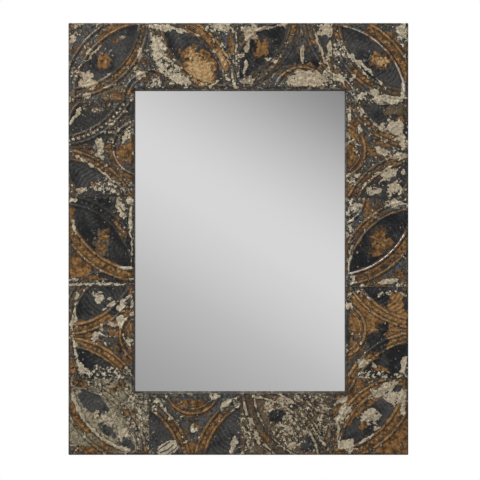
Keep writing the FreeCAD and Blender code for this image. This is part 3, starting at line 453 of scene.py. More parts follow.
            "leaf_flecks": [(600, 503, 30, 8, 0), (565, 652, 66, 10, 0)],
            "rust": [
                (556, 524, 34, 15, 24), (604, 518, 15, 20, 25), (612, 550, 22, 24, 0),
                (548, 552, 30, 24, 0), (575, 638, 18, 5, 10),
            ],
            "rust on ring": [(525, 575, 34, 46, 0)],
            "gap on crests": [(573, 596, 26, 10, -26)],
            "cut": [
                (581, 513, 14, 8, -10), (582, 564, 8, 14, 0), (570, 592, 19, 19, 30),
                (512, 574, 8, 24, 0),
            ],
            "cream": [
                (545, 628, 10, 7, 0), (563, 633, 4, 4, 0), (619, 632, 6, 17, 15), (516, 524, 7, 6, 0),
            ],
            "bare on leaf": [(592, 614, 40, 24, 0)],
        },
        "streaks": {
            "rust on arc": [(626, 569, 519, 648, 14), (520, 500, 626, 560, 18)],
        },
    },
    "tin_bottom_left_corner": {
        "medallion": (147.0, 652.4),
        "leaves": [(-1, 1, 0.25)],
        "chips": 0.45,
        "brown": 0.4,
        "blued": 0.8,
        "bright": 0.3,
        "deep": 0.6,
        "pale": 1.0,
        "soiled": 0.2,
        "spots": {
            "wash": [(72, 728, 84, 76, 0)],
            "bare on leaf": [(46, 702, 34, 17, 38), (106, 777, 18, 11, 30), (72, 752, 20, 8, 40)],
            "cream": [(74, 733, 16, 12, 20), (104, 756, 11, 12, 30), (51, 722, 5, 5, 0)],
            "cream on great_ridge": [(50, 745, 60, 76, -40)],
            "rust": [(84, 678, 8, 6, 30)],
            "rust on great": [(30, 728, 22, 34, -40)],
            "umber on great": [(50, 750, 50, 70, -40)],
            "leaf_flecks": [(128, 730, 24, 50, 0)],
        },
        "streaks": {
            "umber": [(46, 687, 99, 713, 3)],
            "umber on great": [(6, 690, 86, 792, 18)],
        },
    },
    "tin_bottom_left": {
        "medallion": (229.2, 671.2),
        "leaves": [(-1, 1, 0.14), (1, 1, 0.42)],
        "chips": 0.3,
        "brown": 0.3,
        "blued": 0.7,
        "bright": 0.1,
        "deep": 0.5,
        "pale": 0.75,
        "soiled": 0.0,
        "spots": {
            "rust on arc": [(195, 750, 30, 34, 0), (262, 750, 32, 36, 0)],
            "rust": [(229, 784, 15, 14, 0), (230, 704, 26, 8, 0)],
            "rust on ring": [(229, 715, 46, 22, 0)],
            "flecks": [(231, 748, 9, 9, 0), (308, 725, 9, 40, 0), (158, 745, 8, 50, 0)],
            "cream": [(292, 702, 15, 5, -45), (268, 691, 7, 8, 0), (305, 777, 6, 17, 20)],
            "cream on leaf": [(184, 786, 24, 14, -35)],
            "bare on leaf": [(170, 760, 26, 24, 0), (290, 765, 26, 28, 0)],
        },
        "streaks": {
            "cream": [(164, 696, 190, 729, 6)],
            "gap": [(166, 791, 186, 772, 2.2), (173, 796, 193, 777, 2.2), (181, 799, 201, 781, 2.2)],
            "rust on great": [(205, 740, 180, 700, 30)],
            "rust": [(169, 724, 212, 781, 9), (288, 722, 247, 786, 9)],
        },
    },
    "tin_bottom_right": {
        "medallion": (483.3, 670.6),
        "leaves": [(-1, 1, 0.42)],
        "chips": 0.3,
        "brown": 0.0,
        "blued": 0.5,
        "bright": 0.2,
        "deep": 0.9,
        "pale": 0.5,
        "soiled": 0.36,
        "spots": {
            "umber": [(404, 741, 110, 76, 0)],
            "leaf_flecks": [(432, 730, 62, 68, 0), (334, 768, 16, 28, 0)],
            "cream": [
                (398, 700, 12, 9, 20), (370, 706, 9, 9, 0), (410, 750, 9, 6, 10), (412, 779, 8, 5, 0),
            ],
            "cut": [(446, 777, 15, 13, 0), (385, 725, 14, 12, 0)],
            "holes": [(390, 735, 60, 40, 0)],
            "cream on crests": [(404, 740, 100, 70, 0)],
        },
        "streaks": {
            "cream": [(335, 730, 354, 778, 6), (428, 716, 472, 775, 3.5)],
        },
    },
    "tin_bottom_right_corner": {
        "medallion": (479.6, 646.7),
        "leaves": [(1, 1, 0.16)],
        "chips": 0.15,
        "brown": 1.0,
        "blued": 0.1,
        "bright": 0.1,
        "deep": 0.35,
        "pale": 0.45,
        "soiled": 0.12,
        "spots": {
            "cream": [
                (508, 719, 9, 17, 30), (505, 696, 13, 5, -30), (498, 756, 3.5, 20, 0),
                (511, 779, 20, 8, -12), (557, 727, 16, 14, 20), (597, 690, 15, 13, 0),
                (582, 678, 26, 6, -28), (617, 696, 9, 20, 0),
            ],
            "rust": [(545, 743, 9, 7, 0), (600, 772, 40, 34, 0)],
            "rust on great": [(585, 760, 70, 70, 0)],
            "rust on arc": [(545, 700, 60, 50, 0)],
            "bare on leaf": [(545, 730, 40, 40, 0)],
        },
        "streaks": {
            "rust": [(599, 667, 511, 741, 9)],
            "cream": [(562, 678, 602, 661, 5), (520, 790, 580, 745, 4)],
        },
    },
}

# The layers of the finish. Where cut lies, rust is scraped off to the bare sheet, and where plain
# lies, none has formed. Two of them are painted light: a painted highlight along some crests, and
# a painted shadow line beside ridges and over some crests.
LAYERS = ("cream", "rust", "tan", "umber", "wash", "bare", "shine", "gap", "cut", "plain")
FLECKS = ("flecks", "holes", "leaf_flecks")
# The mesh's attributes, and what each of their channels holds.
WRITTEN = {
    "patina": ("cream", "rust", "umber", "wash"),
    "press": ("leaf", "line", "crest"),
    "place": ("bare", "tan", "deep", "shine"),
    "extra": ("pale", "gap", "soiled"),
    "specks": ("flecks", "holes", "blued", "bright"),
}
CHANNELS = 4
# A distance to an edge is written as a share of this many millimetres, so that it fits in 0 to 1.
SPREAD = 8.0

# Noises: how strong each is, the size of its features in millimetres, and what is added to the
# piece's seed for it.
NOISES = {
    "across": ((2.4, 13.0, 0), (1.2, 4.6, 20)),
    "down": ((2.4, 13.0, 1), (1.2, 4.6, 21)),
    "ragged": ((0.5, 8.5, 2), (0.5, 4.1, 3), (0.34, 2.0, 8)),
    "umber": ((3.0, 15.0, 4),),
    "flecks": ((0.8, 17.0, 5),),
    "dents": ((0.16, 35.0, 6), (0.07, 7.0, 7)),
    "chips": ((4.2, 7.5, 9), (2.2, 3.4, 10)),
    "stains": ((6.0, 24.0, 11), (3.0, 9.0, 12)),
}
LATTICE = 256

# The sheet, in millimetres: a piece this near to the frame's edge is folded over it, an edge that
# a piece hasn't got is far off, tiny keeps a division safe, and the cut edge goes back by the rim.
NEAR = 1.0
FAR = 1000.0
TINY = 1e-6
RIM = 0.45

# The pressed relief. Heights, radii, half widths and reaches are in millimetres; rises are given
# as where they start and where they are whole.
GROUND = 0.35
# The bands of beads: half width of a ridge, heights of the inner and the outer ridge, spacing of
# the beads as a share of the bead pitch, and a bead's radius and height.
ARC_BAND = (3.6, 1.8, 1.7, 0.8, 3.9, 1.25)
GREAT_BAND = (3.9, 2.0, 2.0, 0.85, 4.3, 1.3)
CHANNEL_HEIGHT = 0.4
CHANNEL_RISE = (0.0, 2.0)
BAND_RISE = (0.0, 1.5)
# A leaf: a shallow dish, and flutes that lean outwards from its middle.
DISH_DEPTH = 0.45
DISH_RISE = (2.0, 22.0)
FLUTE_RISE = (2.5, 9.0)
FLUTE_LEAN = 0.25
# The flower in a lone leaf: how far it is from the medallion across and down, its petals with
# their swing as shares of its radius, their veins, and the heart with a moat round it.
FLOWER_OUT = 79.4
FLOWER_CLEAR = (-1.0, 5.0)
FLOWER_SHARE = 0.95
PETALS = 7
PETAL_REACH_SHARE, PETAL_SWING_SHARE = 0.82, 0.18
PETAL_RISE = (0.0, 3.5)
PETAL_HEIGHT, PETAL_SWELL = 1.35, 0.5
VEIN_DEPTH, VEIN_HALF_SHARE = 0.45, 0.12
VEIN_RISE = (5.0, 8.0)
VEIN_END = (0.0, 2.0)
HEART_RADIUS, HEART_HEIGHT = 6.0, 0.9
HEART_RISE = (0.0, 2.5)
MOAT_RADIUS, MOAT_DEPTH, MOAT_HALF = 7.5, 0.6, 1.8
# The medallion: a ridge, a fine line and a low dome inside it, a button and a ring of beads.
RING_HALF, RING_HEIGHT = 3.9, 2.1
FINE_INSET, FINE_HALF, FINE_HEIGHT = 8.5, 1.8, 0.8
DOME_INSET, DOME_HEIGHT = 9.0, 0.9
BUTTON_RADIUS, BUTTON_HEIGHT = 12.0, 0.8
BUTTON_RISE = (0.0, 4.0)
BEADED_RADIUS, BEADED_COUNT = 29.0, 12
BEADED_BEAD, BEADED_HEIGHT = 6.0, 1.3
# The stems along the four axes, each with a bulb.
STEM_HALF, STEM_HEIGHT = 3.4, 0.7
STEM_RISE = (1.0, 5.0)
STEM_CLEAR = (0.0, 3.0)
BULB_OUT, BULB_RADIUS, BULB_HEIGHT = 83.0, 6.5, 1.5
BULB_RISE = (0.0, 4.0)

# How far each zone of the pattern reaches from the middle of its line or band, or past it.
REACH = {
    "arc": 3.0,
    "wide_arc": 5.5,
    "great": 2.5,
    "great_ridge": 3.0,
    "ring": 6.0,
    "crests": 1.0,
    "arc_shadow": 1.9,
    "arc_flank": 1.9,
    "great_shadow": 1.3,
    "great_line": 0.65,
    "ring_line": 0.65,
}
# How far outside its ridge's crest a zone has its middle.
ASIDE = {"arc_shadow": -1.8, "arc_flank": -1.8, "great_shadow": 3.0, "great_line": -1.0}
NOWHERE = -50.0
# The zone on the tops of the beads: a bead's dome, less what lies below its top.
BEAD_DOME = 2.6
BEAD_TOP = 0.9

# How a sheet's relief has been flattened: lower at a seam, and flat at a fold and under a nail.
SEAM_SHARE = 0.55
SEAM_RISE = (0.0, 5.0)
FOLD_RISE = (0.0, 3.5)
NAIL_RISE = (2.6, 5.0)
DENT_RISE = (0.0, 6.0)
PRESSED_TOP = 2.75
LOWEST, HIGHEST = -0.3, 2.88
PAINT_THICK = 0.14
PAINT_RISE = (-0.4, 0.6)
# A crest stands this high over the sheet round about it.
ROUND_ABOUT = 2.5
CREST_HEIGHT = 2.0

# How ragged the edges of the patches are: by zone, or by the patch's own width between two ends.
NO_LAYER = -30.0
CLEAN_EDGED = ("shine", "gap")
ZONE_ROUGH = {"tops": 0.8}
ZONE_ROUGH_ELSE = 3.0
SPOT_ROUGH_SHARE, SPOT_ROUGH_LEAST, SPOT_ROUGH_MOST = 1.05, 2.4, 11.0
STREAK_ROUGH_MOST = 4.6
FLECKS_REACH, FLECKS_SOFT = 1.25, 0.5
# Stray chips, stains and umber, which keep off the leaves: chips gather by the ridges' lines and
# stains on the bands.
OFF_LEAF, OFF_LEAF_MOST = 1.0, 6.0
CHIPS_BY_LINE, CHIPS_RARE, CHIPS_GAIN = 1.5, 6.0, 4.5
LINE_RISE = (7.0, 1.5)
STAINS_ON_BAND, STAINS_RARE, STAINS_GAIN = 2.5, 7.0, 8.0
BAND_STAIN_RISE = (-2.0, 3.0)
UMBER_INSET = 1.0
# Flecks lie off the leaves, by the seams and by the folds, and few are left on a leaf's clean
# sheet, where rust was scraped off and on the rust itself.
FLECKS_OFF_LEAF, OFF_LEAF_RISE = 0.36, (0.0, 3.0)
FLECKS_BY_SEAM, SEAM_REACH, BY_SEAM_RISE = 0.3, 9.0, (0.0, 8.0)
FLECKS_BY_FOLD, FOLD_REACH, BY_FOLD_RISE = 0.3, 3.5, (0.0, 3.0)
FLECKS_MEAN = 0.7
SPOT_FLECKS, LEAF_FLECKS = 0.92, 0.7
LEAF_CLEARS, CUT_CLEARS, RUST_CLEARS = 0.85, 0.85, 0.8
CUT_RISE, RUST_RISE = (-1.0, 2.0), (-1.0, 1.5)
NAIL_REACH = 7.0


def wander(x, y, size, seed):
    """Smooth seeded noise from -1 to 1 over a plane, with features of about this size in mm."""
    lattice = np.random.default_rng(seed).uniform(-1.0, 1.0, (LATTICE, LATTICE))
    column, row = np.floor(x / size).astype(int), np.floor(y / size).astype(int)
    across, down = x / size - column, y / size - row
    across, down = across * across * (3 - 2 * across), down * down * (3 - 2 * down)
    west, east = column % LATTICE, (column + 1) % LATTICE
    north, south = row % LATTICE, (row + 1) % LATTICE
    upper = lattice[north, west] * (1 - across) + lattice[north, east] * across
    lower = lattice[south, west] * (1 - across) + lattice[south, east] * across
    return upper * (1 - down) + lower * down


def noise(name, x, y, seed):
    """One of the named noises over a plane."""
    return sum(most * wander(x, y, size, seed + more) for most, size, more in NOISES[name])


def rise(value, start, end):
    """A smooth step from 0 at start to 1 at end."""
    share = np.clip((value - start) / (end - start), 0.0, 1.0)
    return share * share * (3 - 2 * share)


def ridge(offset, half_width):
    """A rounded ridge, 1 on its crest and 0 from this half width on."""
    return np.where(np.abs(offset) < half_width, 0.5 + 0.5 * np.cos(np.pi * offset / half_width), 0.0)


def beads(along, offset, pitch, radius):
    """A row of soft domes, 1 on each top."""
    from_bead = (along / pitch - np.round(along / pitch)) * pitch
    return ridge(np.hypot(from_bead, offset), radius)


def fold(past, radius):
    """How far out and down a sheet goes, for a length of it past the start of its bend."""
    angle = np.clip(past / radius, 0.0, math.pi / 2)
    straight = np.maximum(past - radius * math.pi / 2, 0.0)
    return radius * np.sin(angle), radius * (1 - np.cos(angle)) + straight


def beaded_band(away, turn, radii, pitch, shape):
    """Two ridges with a row of beads between them: their height, the beads, and the inside."""
    inner, outer = radii
    half_width, inner_height, outer_height, pitch_share, bead, bead_height = shape
    middle = (inner + outer) / 2
    inside = (outer - inner) / 2 - np.abs(away - middle)
    row = beads(turn * middle, away - middle, pitch * pitch_share, bead)
    ridges = ridge(away - inner, half_width) * inner_height + ridge(away - outer, half_width) * outer_height
    return ridges + rise(inside, *CHANNEL_RISE) * (CHANNEL_HEIGHT + bead_height * row), row, inside


def flower(away, turn, radius):
    """The flower in a lone leaf: petals with veins, and a heart with a moat round it."""
    swing = np.cos(turn * PETALS)
    inside = radius * (PETAL_REACH_SHARE + PETAL_SWING_SHARE * swing) - away
    petals = rise(inside, *PETAL_RISE) * (PETAL_HEIGHT + PETAL_SWELL * swing)
    veins = VEIN_DEPTH * ridge((turn * PETALS / (2 * math.pi)) % 1 - 0.5, VEIN_HALF_SHARE)
    veins = veins * rise(away, *VEIN_RISE) * rise(inside, *VEIN_END)
    heart = HEART_HEIGHT * rise(HEART_RADIUS - away, *HEART_RISE)
    moat = MOAT_DEPTH * ridge(away - MOAT_RADIUS, MOAT_HALF)
    return (petals - veins + heart - moat) * FLOWER_SHARE


def medallion(away, turn, ring):
    """The medallion: a ridge, a fine line, a dome with a button and a ring of beads."""
    height = RING_HEIGHT * ridge(away - ring, RING_HALF)
    height = height + FINE_HEIGHT * ridge(away - ring + FINE_INSET, FINE_HALF)
    height = height + DOME_HEIGHT * np.clip(1 - (away / (ring - DOME_INSET)) ** 2, 0, 1)
    height = height + BUTTON_HEIGHT * rise(BUTTON_RADIUS - away, *BUTTON_RISE)
    pitch = 2 * math.pi * BEADED_RADIUS / BEADED_COUNT
    return height + BEADED_HEIGHT * beads(turn * BEADED_RADIUS, away - BEADED_RADIUS, pitch, BEADED_BEAD)


def nail_spots():
    """The middles of the face nails' heads, across and down, in mm."""
    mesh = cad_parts["face_nails"].data
    points = np.empty(len(mesh.vertices) * 3)
    mesh.vertices.foreach_get("co", points)
    points = points.reshape(-1, 3) / MM
    left = np.stack([points[:, 0] - LEFT, TOP - points[:, 2]], axis=1)
    spots = []
    while len(left):
        near = np.hypot(*(left - left[0]).T) < NAIL_REACH
        spots.append((left[near].min(axis=0) + left[near].max(axis=0)) / 2)
        left = left[~near]
    return np.array(spots)


NAILS = nail_spots()


def patches(table):
    """The rows of a table of spots or streaks, each with its layer and its zone."""
    for label, rows in table.items():
        layer, _, zone = label.partition(" on ")
        for row in rows:
            yield layer, zone, row


class Sheet:
    """One piece of tin: its place, and its pattern and wear over the unfolded sheet."""

    def __init__(self, name, sizes):
        low, high = box_mm(name)
        self.piece, self.sizes = PIECES[name], sizes
        self.west, self.east = low[0] - LEFT, high[0] - LEFT
        self.north, self.south = TOP - high[2], TOP - low[2]
        self.side_across = -1 if self.west < NEAR else 1 if self.east > WIDTH - NEAR else 0
        self.side_down = -1 if self.north < NEAR else 1 if self.south > HEIGHT - NEAR else 0
        self.is_corner = bool(self.side_across and self.side_down)
        self.band_p = SIGHT["left"] if self.side_across <= 0 else WIDTH - SIGHT["right"]
        self.band_q = SIGHT["top"] if self.side_down <= 0 else HEIGHT - SIGHT["bottom"]
        self.seed = sizes.seed * 100 + sorted(PIECES).index(name)

    def unfolded(self, deep):
        """The length of sheet from the outer edge of a fold to its end."""
        radius = self.sizes.bend
        return deep - radius + radius * math.pi / 2 - radius

    def grid(self):
        """A flat grid over the whole unfolded sheet, as local mm from the outer corner or edge."""
        cell = self.sizes.cell
        outer = -self.unfolded(self.sizes.outer_fold)
        inner = self.unfolded(self.sizes.inner_fold)
        wide, high = self.east - self.west, self.south - self.north
        if self.is_corner:
            p_start, p_end, q_start, q_end = outer, wide, outer, high
        elif self.side_down:
            p_start, p_end, q_start, q_end = 0.0, wide, outer, high + inner
        else:
            p_start, p_end, q_start, q_end = outer, wide + inner, 0.0, high
        built = bmesh.new()
        steps = round((p_end - p_start) / cell), round((q_end - q_start) / cell)
        bmesh.ops.create_grid(built, x_segments=steps[0], y_segments=steps[1], size=0.5)
        scale = Vector((p_end - p_start, q_end - q_start, 1.0))
        bmesh.ops.scale(built, vec=scale, verts=built.verts)
        middle = Vector(((p_start + p_end) / 2, (q_start + q_end) / 2, 0.0))
        bmesh.ops.translate(built, vec=middle, verts=built.verts)
        if self.is_corner:
            # A corner piece has no sheet over the opening, but for its folds.
            cut = []
            for face in built.faces:
                spot = face.calc_center_median()
                if min(spot.x - self.band_p, spot.y - self.band_q) > inner:
                    cut.append(face)
            bmesh.ops.delete(built, geom=cut, context="FACES")
        return built

    def flat(self, p, q):
        """Local mm to mm across and down from the frame's top left corner."""
        across = self.east - p if self.side_across > 0 else self.west + p
        down = self.south - q if self.side_down > 0 else self.north + q
        return across, down

    def place(self, p, q):
        """Where the folded sheet's points come to lie: local mm, and the drop behind the face."""
        radius = self.sizes.bend
        start_p, start_q = self.band_p - radius, self.band_q - radius
        past_p = np.maximum(radius - p, 0.0) if self.side_across else np.zeros_like(p)
        past_q = np.maximum(radius - q, 0.0) if self.side_down else np.zeros_like(q)
        out_p, drop_p = fold(past_p, radius)
        out_q, drop_q = fold(past_q, radius)
        new_p = np.where(past_p > 0, radius - out_p, p)
        new_q = np.where(past_q > 0, radius - out_q, q)
        drop = np.maximum(drop_p, drop_q)
        if not self.is_corner:
            past = np.maximum(q - start_q if self.side_down else p - start_p, 0.0)
            out, inner_drop = fold(past, radius)
            if self.side_down:
                new_q = np.where(past > 0, start_q + out, new_q)
            else:
                new_p = np.where(past > 0, start_p + out, new_p)
            return new_p, new_q, np.maximum(drop, inner_drop)

        # The sheet runs round the frame's outer corner.
        corner = (past_p > 0) & (past_q > 0)
        most, least = np.maximum(past_p, past_q), np.minimum(past_p, past_q)
        share = least / np.maximum(most, TINY) / 2
        turn = np.where(past_p >= past_q, share, 1 - share) * math.pi / 2
        out, corner_drop = fold(most, radius)
        new_p = np.where(corner, radius - out * np.cos(turn), new_p)
        new_q = np.where(corner, radius - out * np.sin(turn), new_q)
        drop = np.where(corner, corner_drop, drop)

        # Its folds run back from the opening's corner.
        past_p, past_q = p - start_p, q - start_q
        notch = (past_p > 0) & (past_q > 0)
        depth = np.minimum(past_p, past_q)
        out, notch_drop = fold(np.maximum(depth, 0.0), radius)
        corner_p, corner_q = start_p + out, start_q + out
        end_p, end_q = p.max(), q.max()
        share_p = (past_p - depth) / np.maximum(end_p - start_p - depth, TINY)
        share_q = (past_q - depth) / np.maximum(end_q - start_q - depth, TINY)
        notch_p = np.where(past_p > past_q, corner_p + share_p * (end_p - corner_p), corner_p)
        notch_q = np.where(past_q > past_p, corner_q + share_q * (end_q - corner_q), corner_q)
        new_p, new_q = np.where(notch, notch_p, new_p), np.where(notch, notch_q, new_q)
        return new_p, new_q, np.where(notch, notch_drop, drop)

    def edges(self, p, q):
        """Distances in mm to the nearest fold and to the nearest seam."""
        radius = self.sizes.bend
        to_p, to_q = self.band_p - radius - p, self.band_q - radius - q
        outer = np.full_like(p, FAR)
        if self.side_across:
            outer = np.minimum(outer, p - radius)
        if self.side_down:
            outer = np.minimum(outer, q - radius)
        if self.is_corner:
            inner = np.hypot(np.maximum(to_p, 0), np.maximum(to_q, 0))
            seam = np.minimum(p.max() - p, q.max() - q)
        elif self.side_down:
            inner = to_q
            seam = np.minimum(p, p.max() - p)
        else:
            inner = to_p
            seam = np.minimum(q, q.max() - q)
        return np.maximum(np.minimum(outer, inner), 0.0), seam

    def pattern(self, x, y):
        """The pressed pattern's height in mm, and how far inside each of its zones a point lies."""
        sizes, leaves = self.sizes, self.piece["leaves"]
        mx, my = self.piece["medallion"]
        away = np.hypot(x - mx, y - my)
        turn = np.arctan2(y - my, x - mx)
        in_great = sizes.great_inner - away
        past_great = np.maximum(-in_great, 0)
        height = np.full_like(x, GROUND)
        zones = {
            zone: np.full_like(x, NOWHERE)
            for zone in ("leaf", "arc", "wide_arc", "tops", "arc_shadow", "arc_flank")
        }
        lines = [np.abs(away - radius) for radius in (sizes.great_inner, sizes.great_outer, sizes.ring)]

        for dx, dy, flute_depth in leaves:
            corner_x, corner_y = mx + dx * sizes.half_repeat, my + dy * sizes.half_repeat
            from_corner = np.hypot(x - corner_x, y - corner_y)
            turn_corner = np.arctan2(y - corner_y, x - corner_x)

            # The band between the leaf and the medallion runs round the repeat's corner.
            radii = (sizes.arc_inner, sizes.arc_outer)
            band, row, in_band = beaded_band(from_corner, turn_corner, radii, sizes.bead_pitch, ARC_BAND)
            height = height + band * rise(in_great, *BAND_RISE)
            in_leaf = np.minimum(in_great, sizes.arc_inner - from_corner)
            in_arc = np.minimum(in_band + REACH["arc"], in_great)
            found = {
                "leaf": in_leaf,
                "arc": in_arc,
                "wide_arc": in_arc + REACH["wide_arc"] - REACH["arc"],
                "tops": np.minimum(BEAD_DOME * row, in_great) - BEAD_TOP,
            }
            for zone, radius in zip(("arc_shadow", "arc_flank"), radii):
                lines.append(np.hypot(from_corner - radius, past_great))
                found[zone] = REACH[zone] - np.hypot(from_corner - radius - ASIDE[zone], past_great)
            for zone, inside in found.items():
                zones[zone] = np.maximum(zones[zone], inside)

            # The leaf: a shallow dish with flutes that run from the medallion outwards.
            across = ((y - my) * dx - (x - mx) * dy) / math.sqrt(2)
            outward = ((x - mx) * dx + (y - my) * dy) / math.sqrt(2)
            middle_out = (sizes.half_repeat * math.sqrt(2) - sizes.arc_inner + sizes.great_inner) / 2
            lean = np.sign(across) * FLUTE_LEAN * np.abs(outward - middle_out)
            flutes = np.cos(2 * math.pi * (across + lean) / sizes.flute_pitch)
            fluted = rise(in_leaf, *FLUTE_RISE)
            if len(leaves) == 1:
                flower_x, flower_y = mx + dx * FLOWER_OUT, my + dy * FLOWER_OUT
                from_flower = np.hypot(x - flower_x, y - flower_y)
                turn_flower = np.arctan2(y - flower_y, x - flower_x)
                fluted = fluted * rise(from_flower - sizes.rosette, *FLOWER_CLEAR)
                height = height + flower(from_flower, turn_flower, sizes.rosette)
            height = height - DISH_DEPTH * rise(in_leaf, *DISH_RISE) + flute_depth * flutes * fluted

        radii = (sizes.great_inner, sizes.great_outer)
        band, row, in_band = beaded_band(away, turn, radii, sizes.bead_pitch, GREAT_BAND)
        height = height + band + medallion(away, turn, sizes.ring)
        zones["tops"] = np.maximum(zones["tops"], BEAD_DOME * row - BEAD_TOP)

        # The stems run from the medallion to the great ring, where no leaf is.
        clear = rise(-zones["leaf"], *STEM_CLEAR)
        off_stem = np.minimum(np.abs(x - mx), np.abs(y - my))
        on_stem = rise(away - sizes.ring, *STEM_RISE) * rise(in_great, *STEM_RISE)
        height = height + STEM_HEIGHT * ridge(off_stem, STEM_HALF) * on_stem * clear
        from_bulb = np.hypot(off_stem, np.maximum(np.abs(x - mx), np.abs(y - my)) - BULB_OUT)
        height = height + BULB_HEIGHT * rise(BULB_RADIUS - from_bulb, *BULB_RISE) * clear

        zones["great"] = in_band + REACH["great"]
        zones["line"] = np.min(lines, axis=0)
        zones["crests"] = REACH["crests"] - zones["line"]
        for zone, radius in (
            ("great_ridge", sizes.great_inner),
            ("great_shadow", sizes.great_inner),
            ("great_line", sizes.great_inner),
            ("ring", sizes.ring),
            ("ring_line", sizes.ring),
        ):
            zones[zone] = REACH[zone] - np.abs(away - radius - ASIDE.get(zone, 0.0))
        return height, zones

    def wear(self, x, y, zones, seam, to_fold):
        """How far inside each layer of the finish a point lies, in mm, and how thick flecks are."""
        piece, seed = self.piece, self.seed
        wx = x + noise("across", x, y, seed)
        wy = y + noise("down", x, y, seed)
        ragged = noise("ragged", x, y, seed)
        layers = {name: np.full_like(x, NO_LAYER) for name in LAYERS}
        amounts = {name: np.zeros_like(x) for name in FLECKS}

        for layer, zone, (sx, sy, rx, ry, turn) in patches(piece["spots"]):
            angle = math.radians(turn)
            along = (wx - sx) * math.cos(angle) + (wy - sy) * math.sin(angle)
            over = (wy - sy) * math.cos(angle) - (wx - sx) * math.sin(angle)
            away = np.hypot(along / rx, over / ry)
            if layer in FLECKS:
                amounts[layer] = np.maximum(amounts[layer], rise(FLECKS_REACH - away, 0.0, FLECKS_SOFT))
                continue
            inside = (1 - away) * math.sqrt(rx * ry)
            rough = min(max(SPOT_ROUGH_SHARE * min(rx, ry), SPOT_ROUGH_LEAST), SPOT_ROUGH_MOST)
            if zone:
                inside = np.minimum(inside, zones[zone])
                rough = ZONE_ROUGH.get(zone, ZONE_ROUGH_ELSE)
            if layer not in CLEAN_EDGED:
                inside = inside + rough * ragged
            layers[layer] = np.maximum(layers[layer], inside)

        for layer, zone, (ax, ay, bx, by, wide) in patches(piece["streaks"]):
            length = math.hypot(bx - ax, by - ay)
            ux, uy = (bx - ax) / length, (by - ay) / length
            along = np.clip((wx - ax) * ux + (wy - ay) * uy, 0, length)
            inside = wide / 2 - np.hypot(wx - ax - along * ux, wy - ay - along * uy)
            if zone:
                inside = np.minimum(inside, zones[zone])
            if layer not in CLEAN_EDGED:
                inside = inside + min(wide, STREAK_ROUGH_MOST) * ragged
            layers[layer] = np.maximum(layers[layer], inside)

        # What is strewn over the whole piece.
        off_leaf = np.minimum(-zones["leaf"] - OFF_LEAF, OFF_LEAF_MOST)
        bands = np.maximum(zones["arc"], zones["great"])
        chips = noise("chips", x, y, seed) + CHIPS_BY_LINE * rise(zones["line"], *LINE_RISE)
        chips = chips - CHIPS_RARE + CHIPS_GAIN * piece["chips"]
        stains = noise("stains", x, y, seed) + STAINS_ON_BAND * rise(bands, *BAND_STAIN_RISE)
        stains = stains - STAINS_RARE + STAINS_GAIN * piece["brown"]
        umber = np.minimum(bands - UMBER_INSET, noise("umber", x, y, seed))
        layers["cream"] = np.maximum(layers["cream"], np.minimum(chips, off_leaf))
        layers["rust"] = np.maximum(layers["rust"], np.minimum(stains, off_leaf))
        layers["umber"] = np.maximum(layers["umber"], umber)
        for layer in ("rust", "umber", "tan"):
            layers[layer] = np.minimum(layers[layer], -layers["cut"])
        layers["rust"] = np.minimum(layers["rust"], -layers["plain"])
        layers["bare"] = np.maximum(layers["bare"], layers["cut"])

        strewn = FLECKS_OFF_LEAF * rise(-zones["leaf"], *OFF_LEAF_RISE)
        strewn = strewn + FLECKS_BY_SEAM * rise(SEAM_REACH - seam, *BY_SEAM_RISE)
        strewn = strewn * (FLECKS_MEAN + noise("flecks", x, y, seed))
        strewn = strewn + FLECKS_BY_FOLD * rise(FOLD_REACH - to_fold, *BY_FOLD_RISE)
        flecks = np.maximum(amounts["flecks"] * SPOT_FLECKS, np.clip(strewn, 0, 1))
        flecks = flecks * (1 - LEAF_CLEARS * rise(zones["leaf"], *OFF_LEAF_RISE))
        flecks = np.maximum(flecks, LEAF_FLECKS * amounts["leaf_flecks"])
        flecks = flecks * (1 - CUT_CLEARS * rise(layers["cut"], *CUT_RISE))
        amounts["flecks"] = flecks * (1 - RUST_CLEARS * rise(layers["rust"], *RUST_RISE))
        return layers, amounts


def add_rim(built):
    """Shades the sheet smooth and gives its cut edges their thickness, which goes backwards."""
    built.normal_update()
    if sum(face.normal.y * face.calc_area() for face in built.faces) > 0:
        bmesh.ops.reverse_faces(built, faces=built.faces)
    for face in built.faces:
        face.smooth = True
    built.normal_update()
    rim = [edge for edge in built.edges if edge.is_boundary]
    for edge in rim:
        edge.smooth = False
    inward = {vert: -vert.normal.copy() for edge in rim for vert in edge.verts}
    for item in bmesh.ops.extrude_edge_only(built, edges=rim)["geom"]:
        if isinstance(item, bmesh.types.BMFace):
            item.smooth = False
        elif isinstance(item, bmesh.types.BMVert):
            ends = [edge.other_vert(item) for edge in item.link_edges]
            first = next(end for end in ends if end in inward)
            item.co += inward[first] * RIM * MM


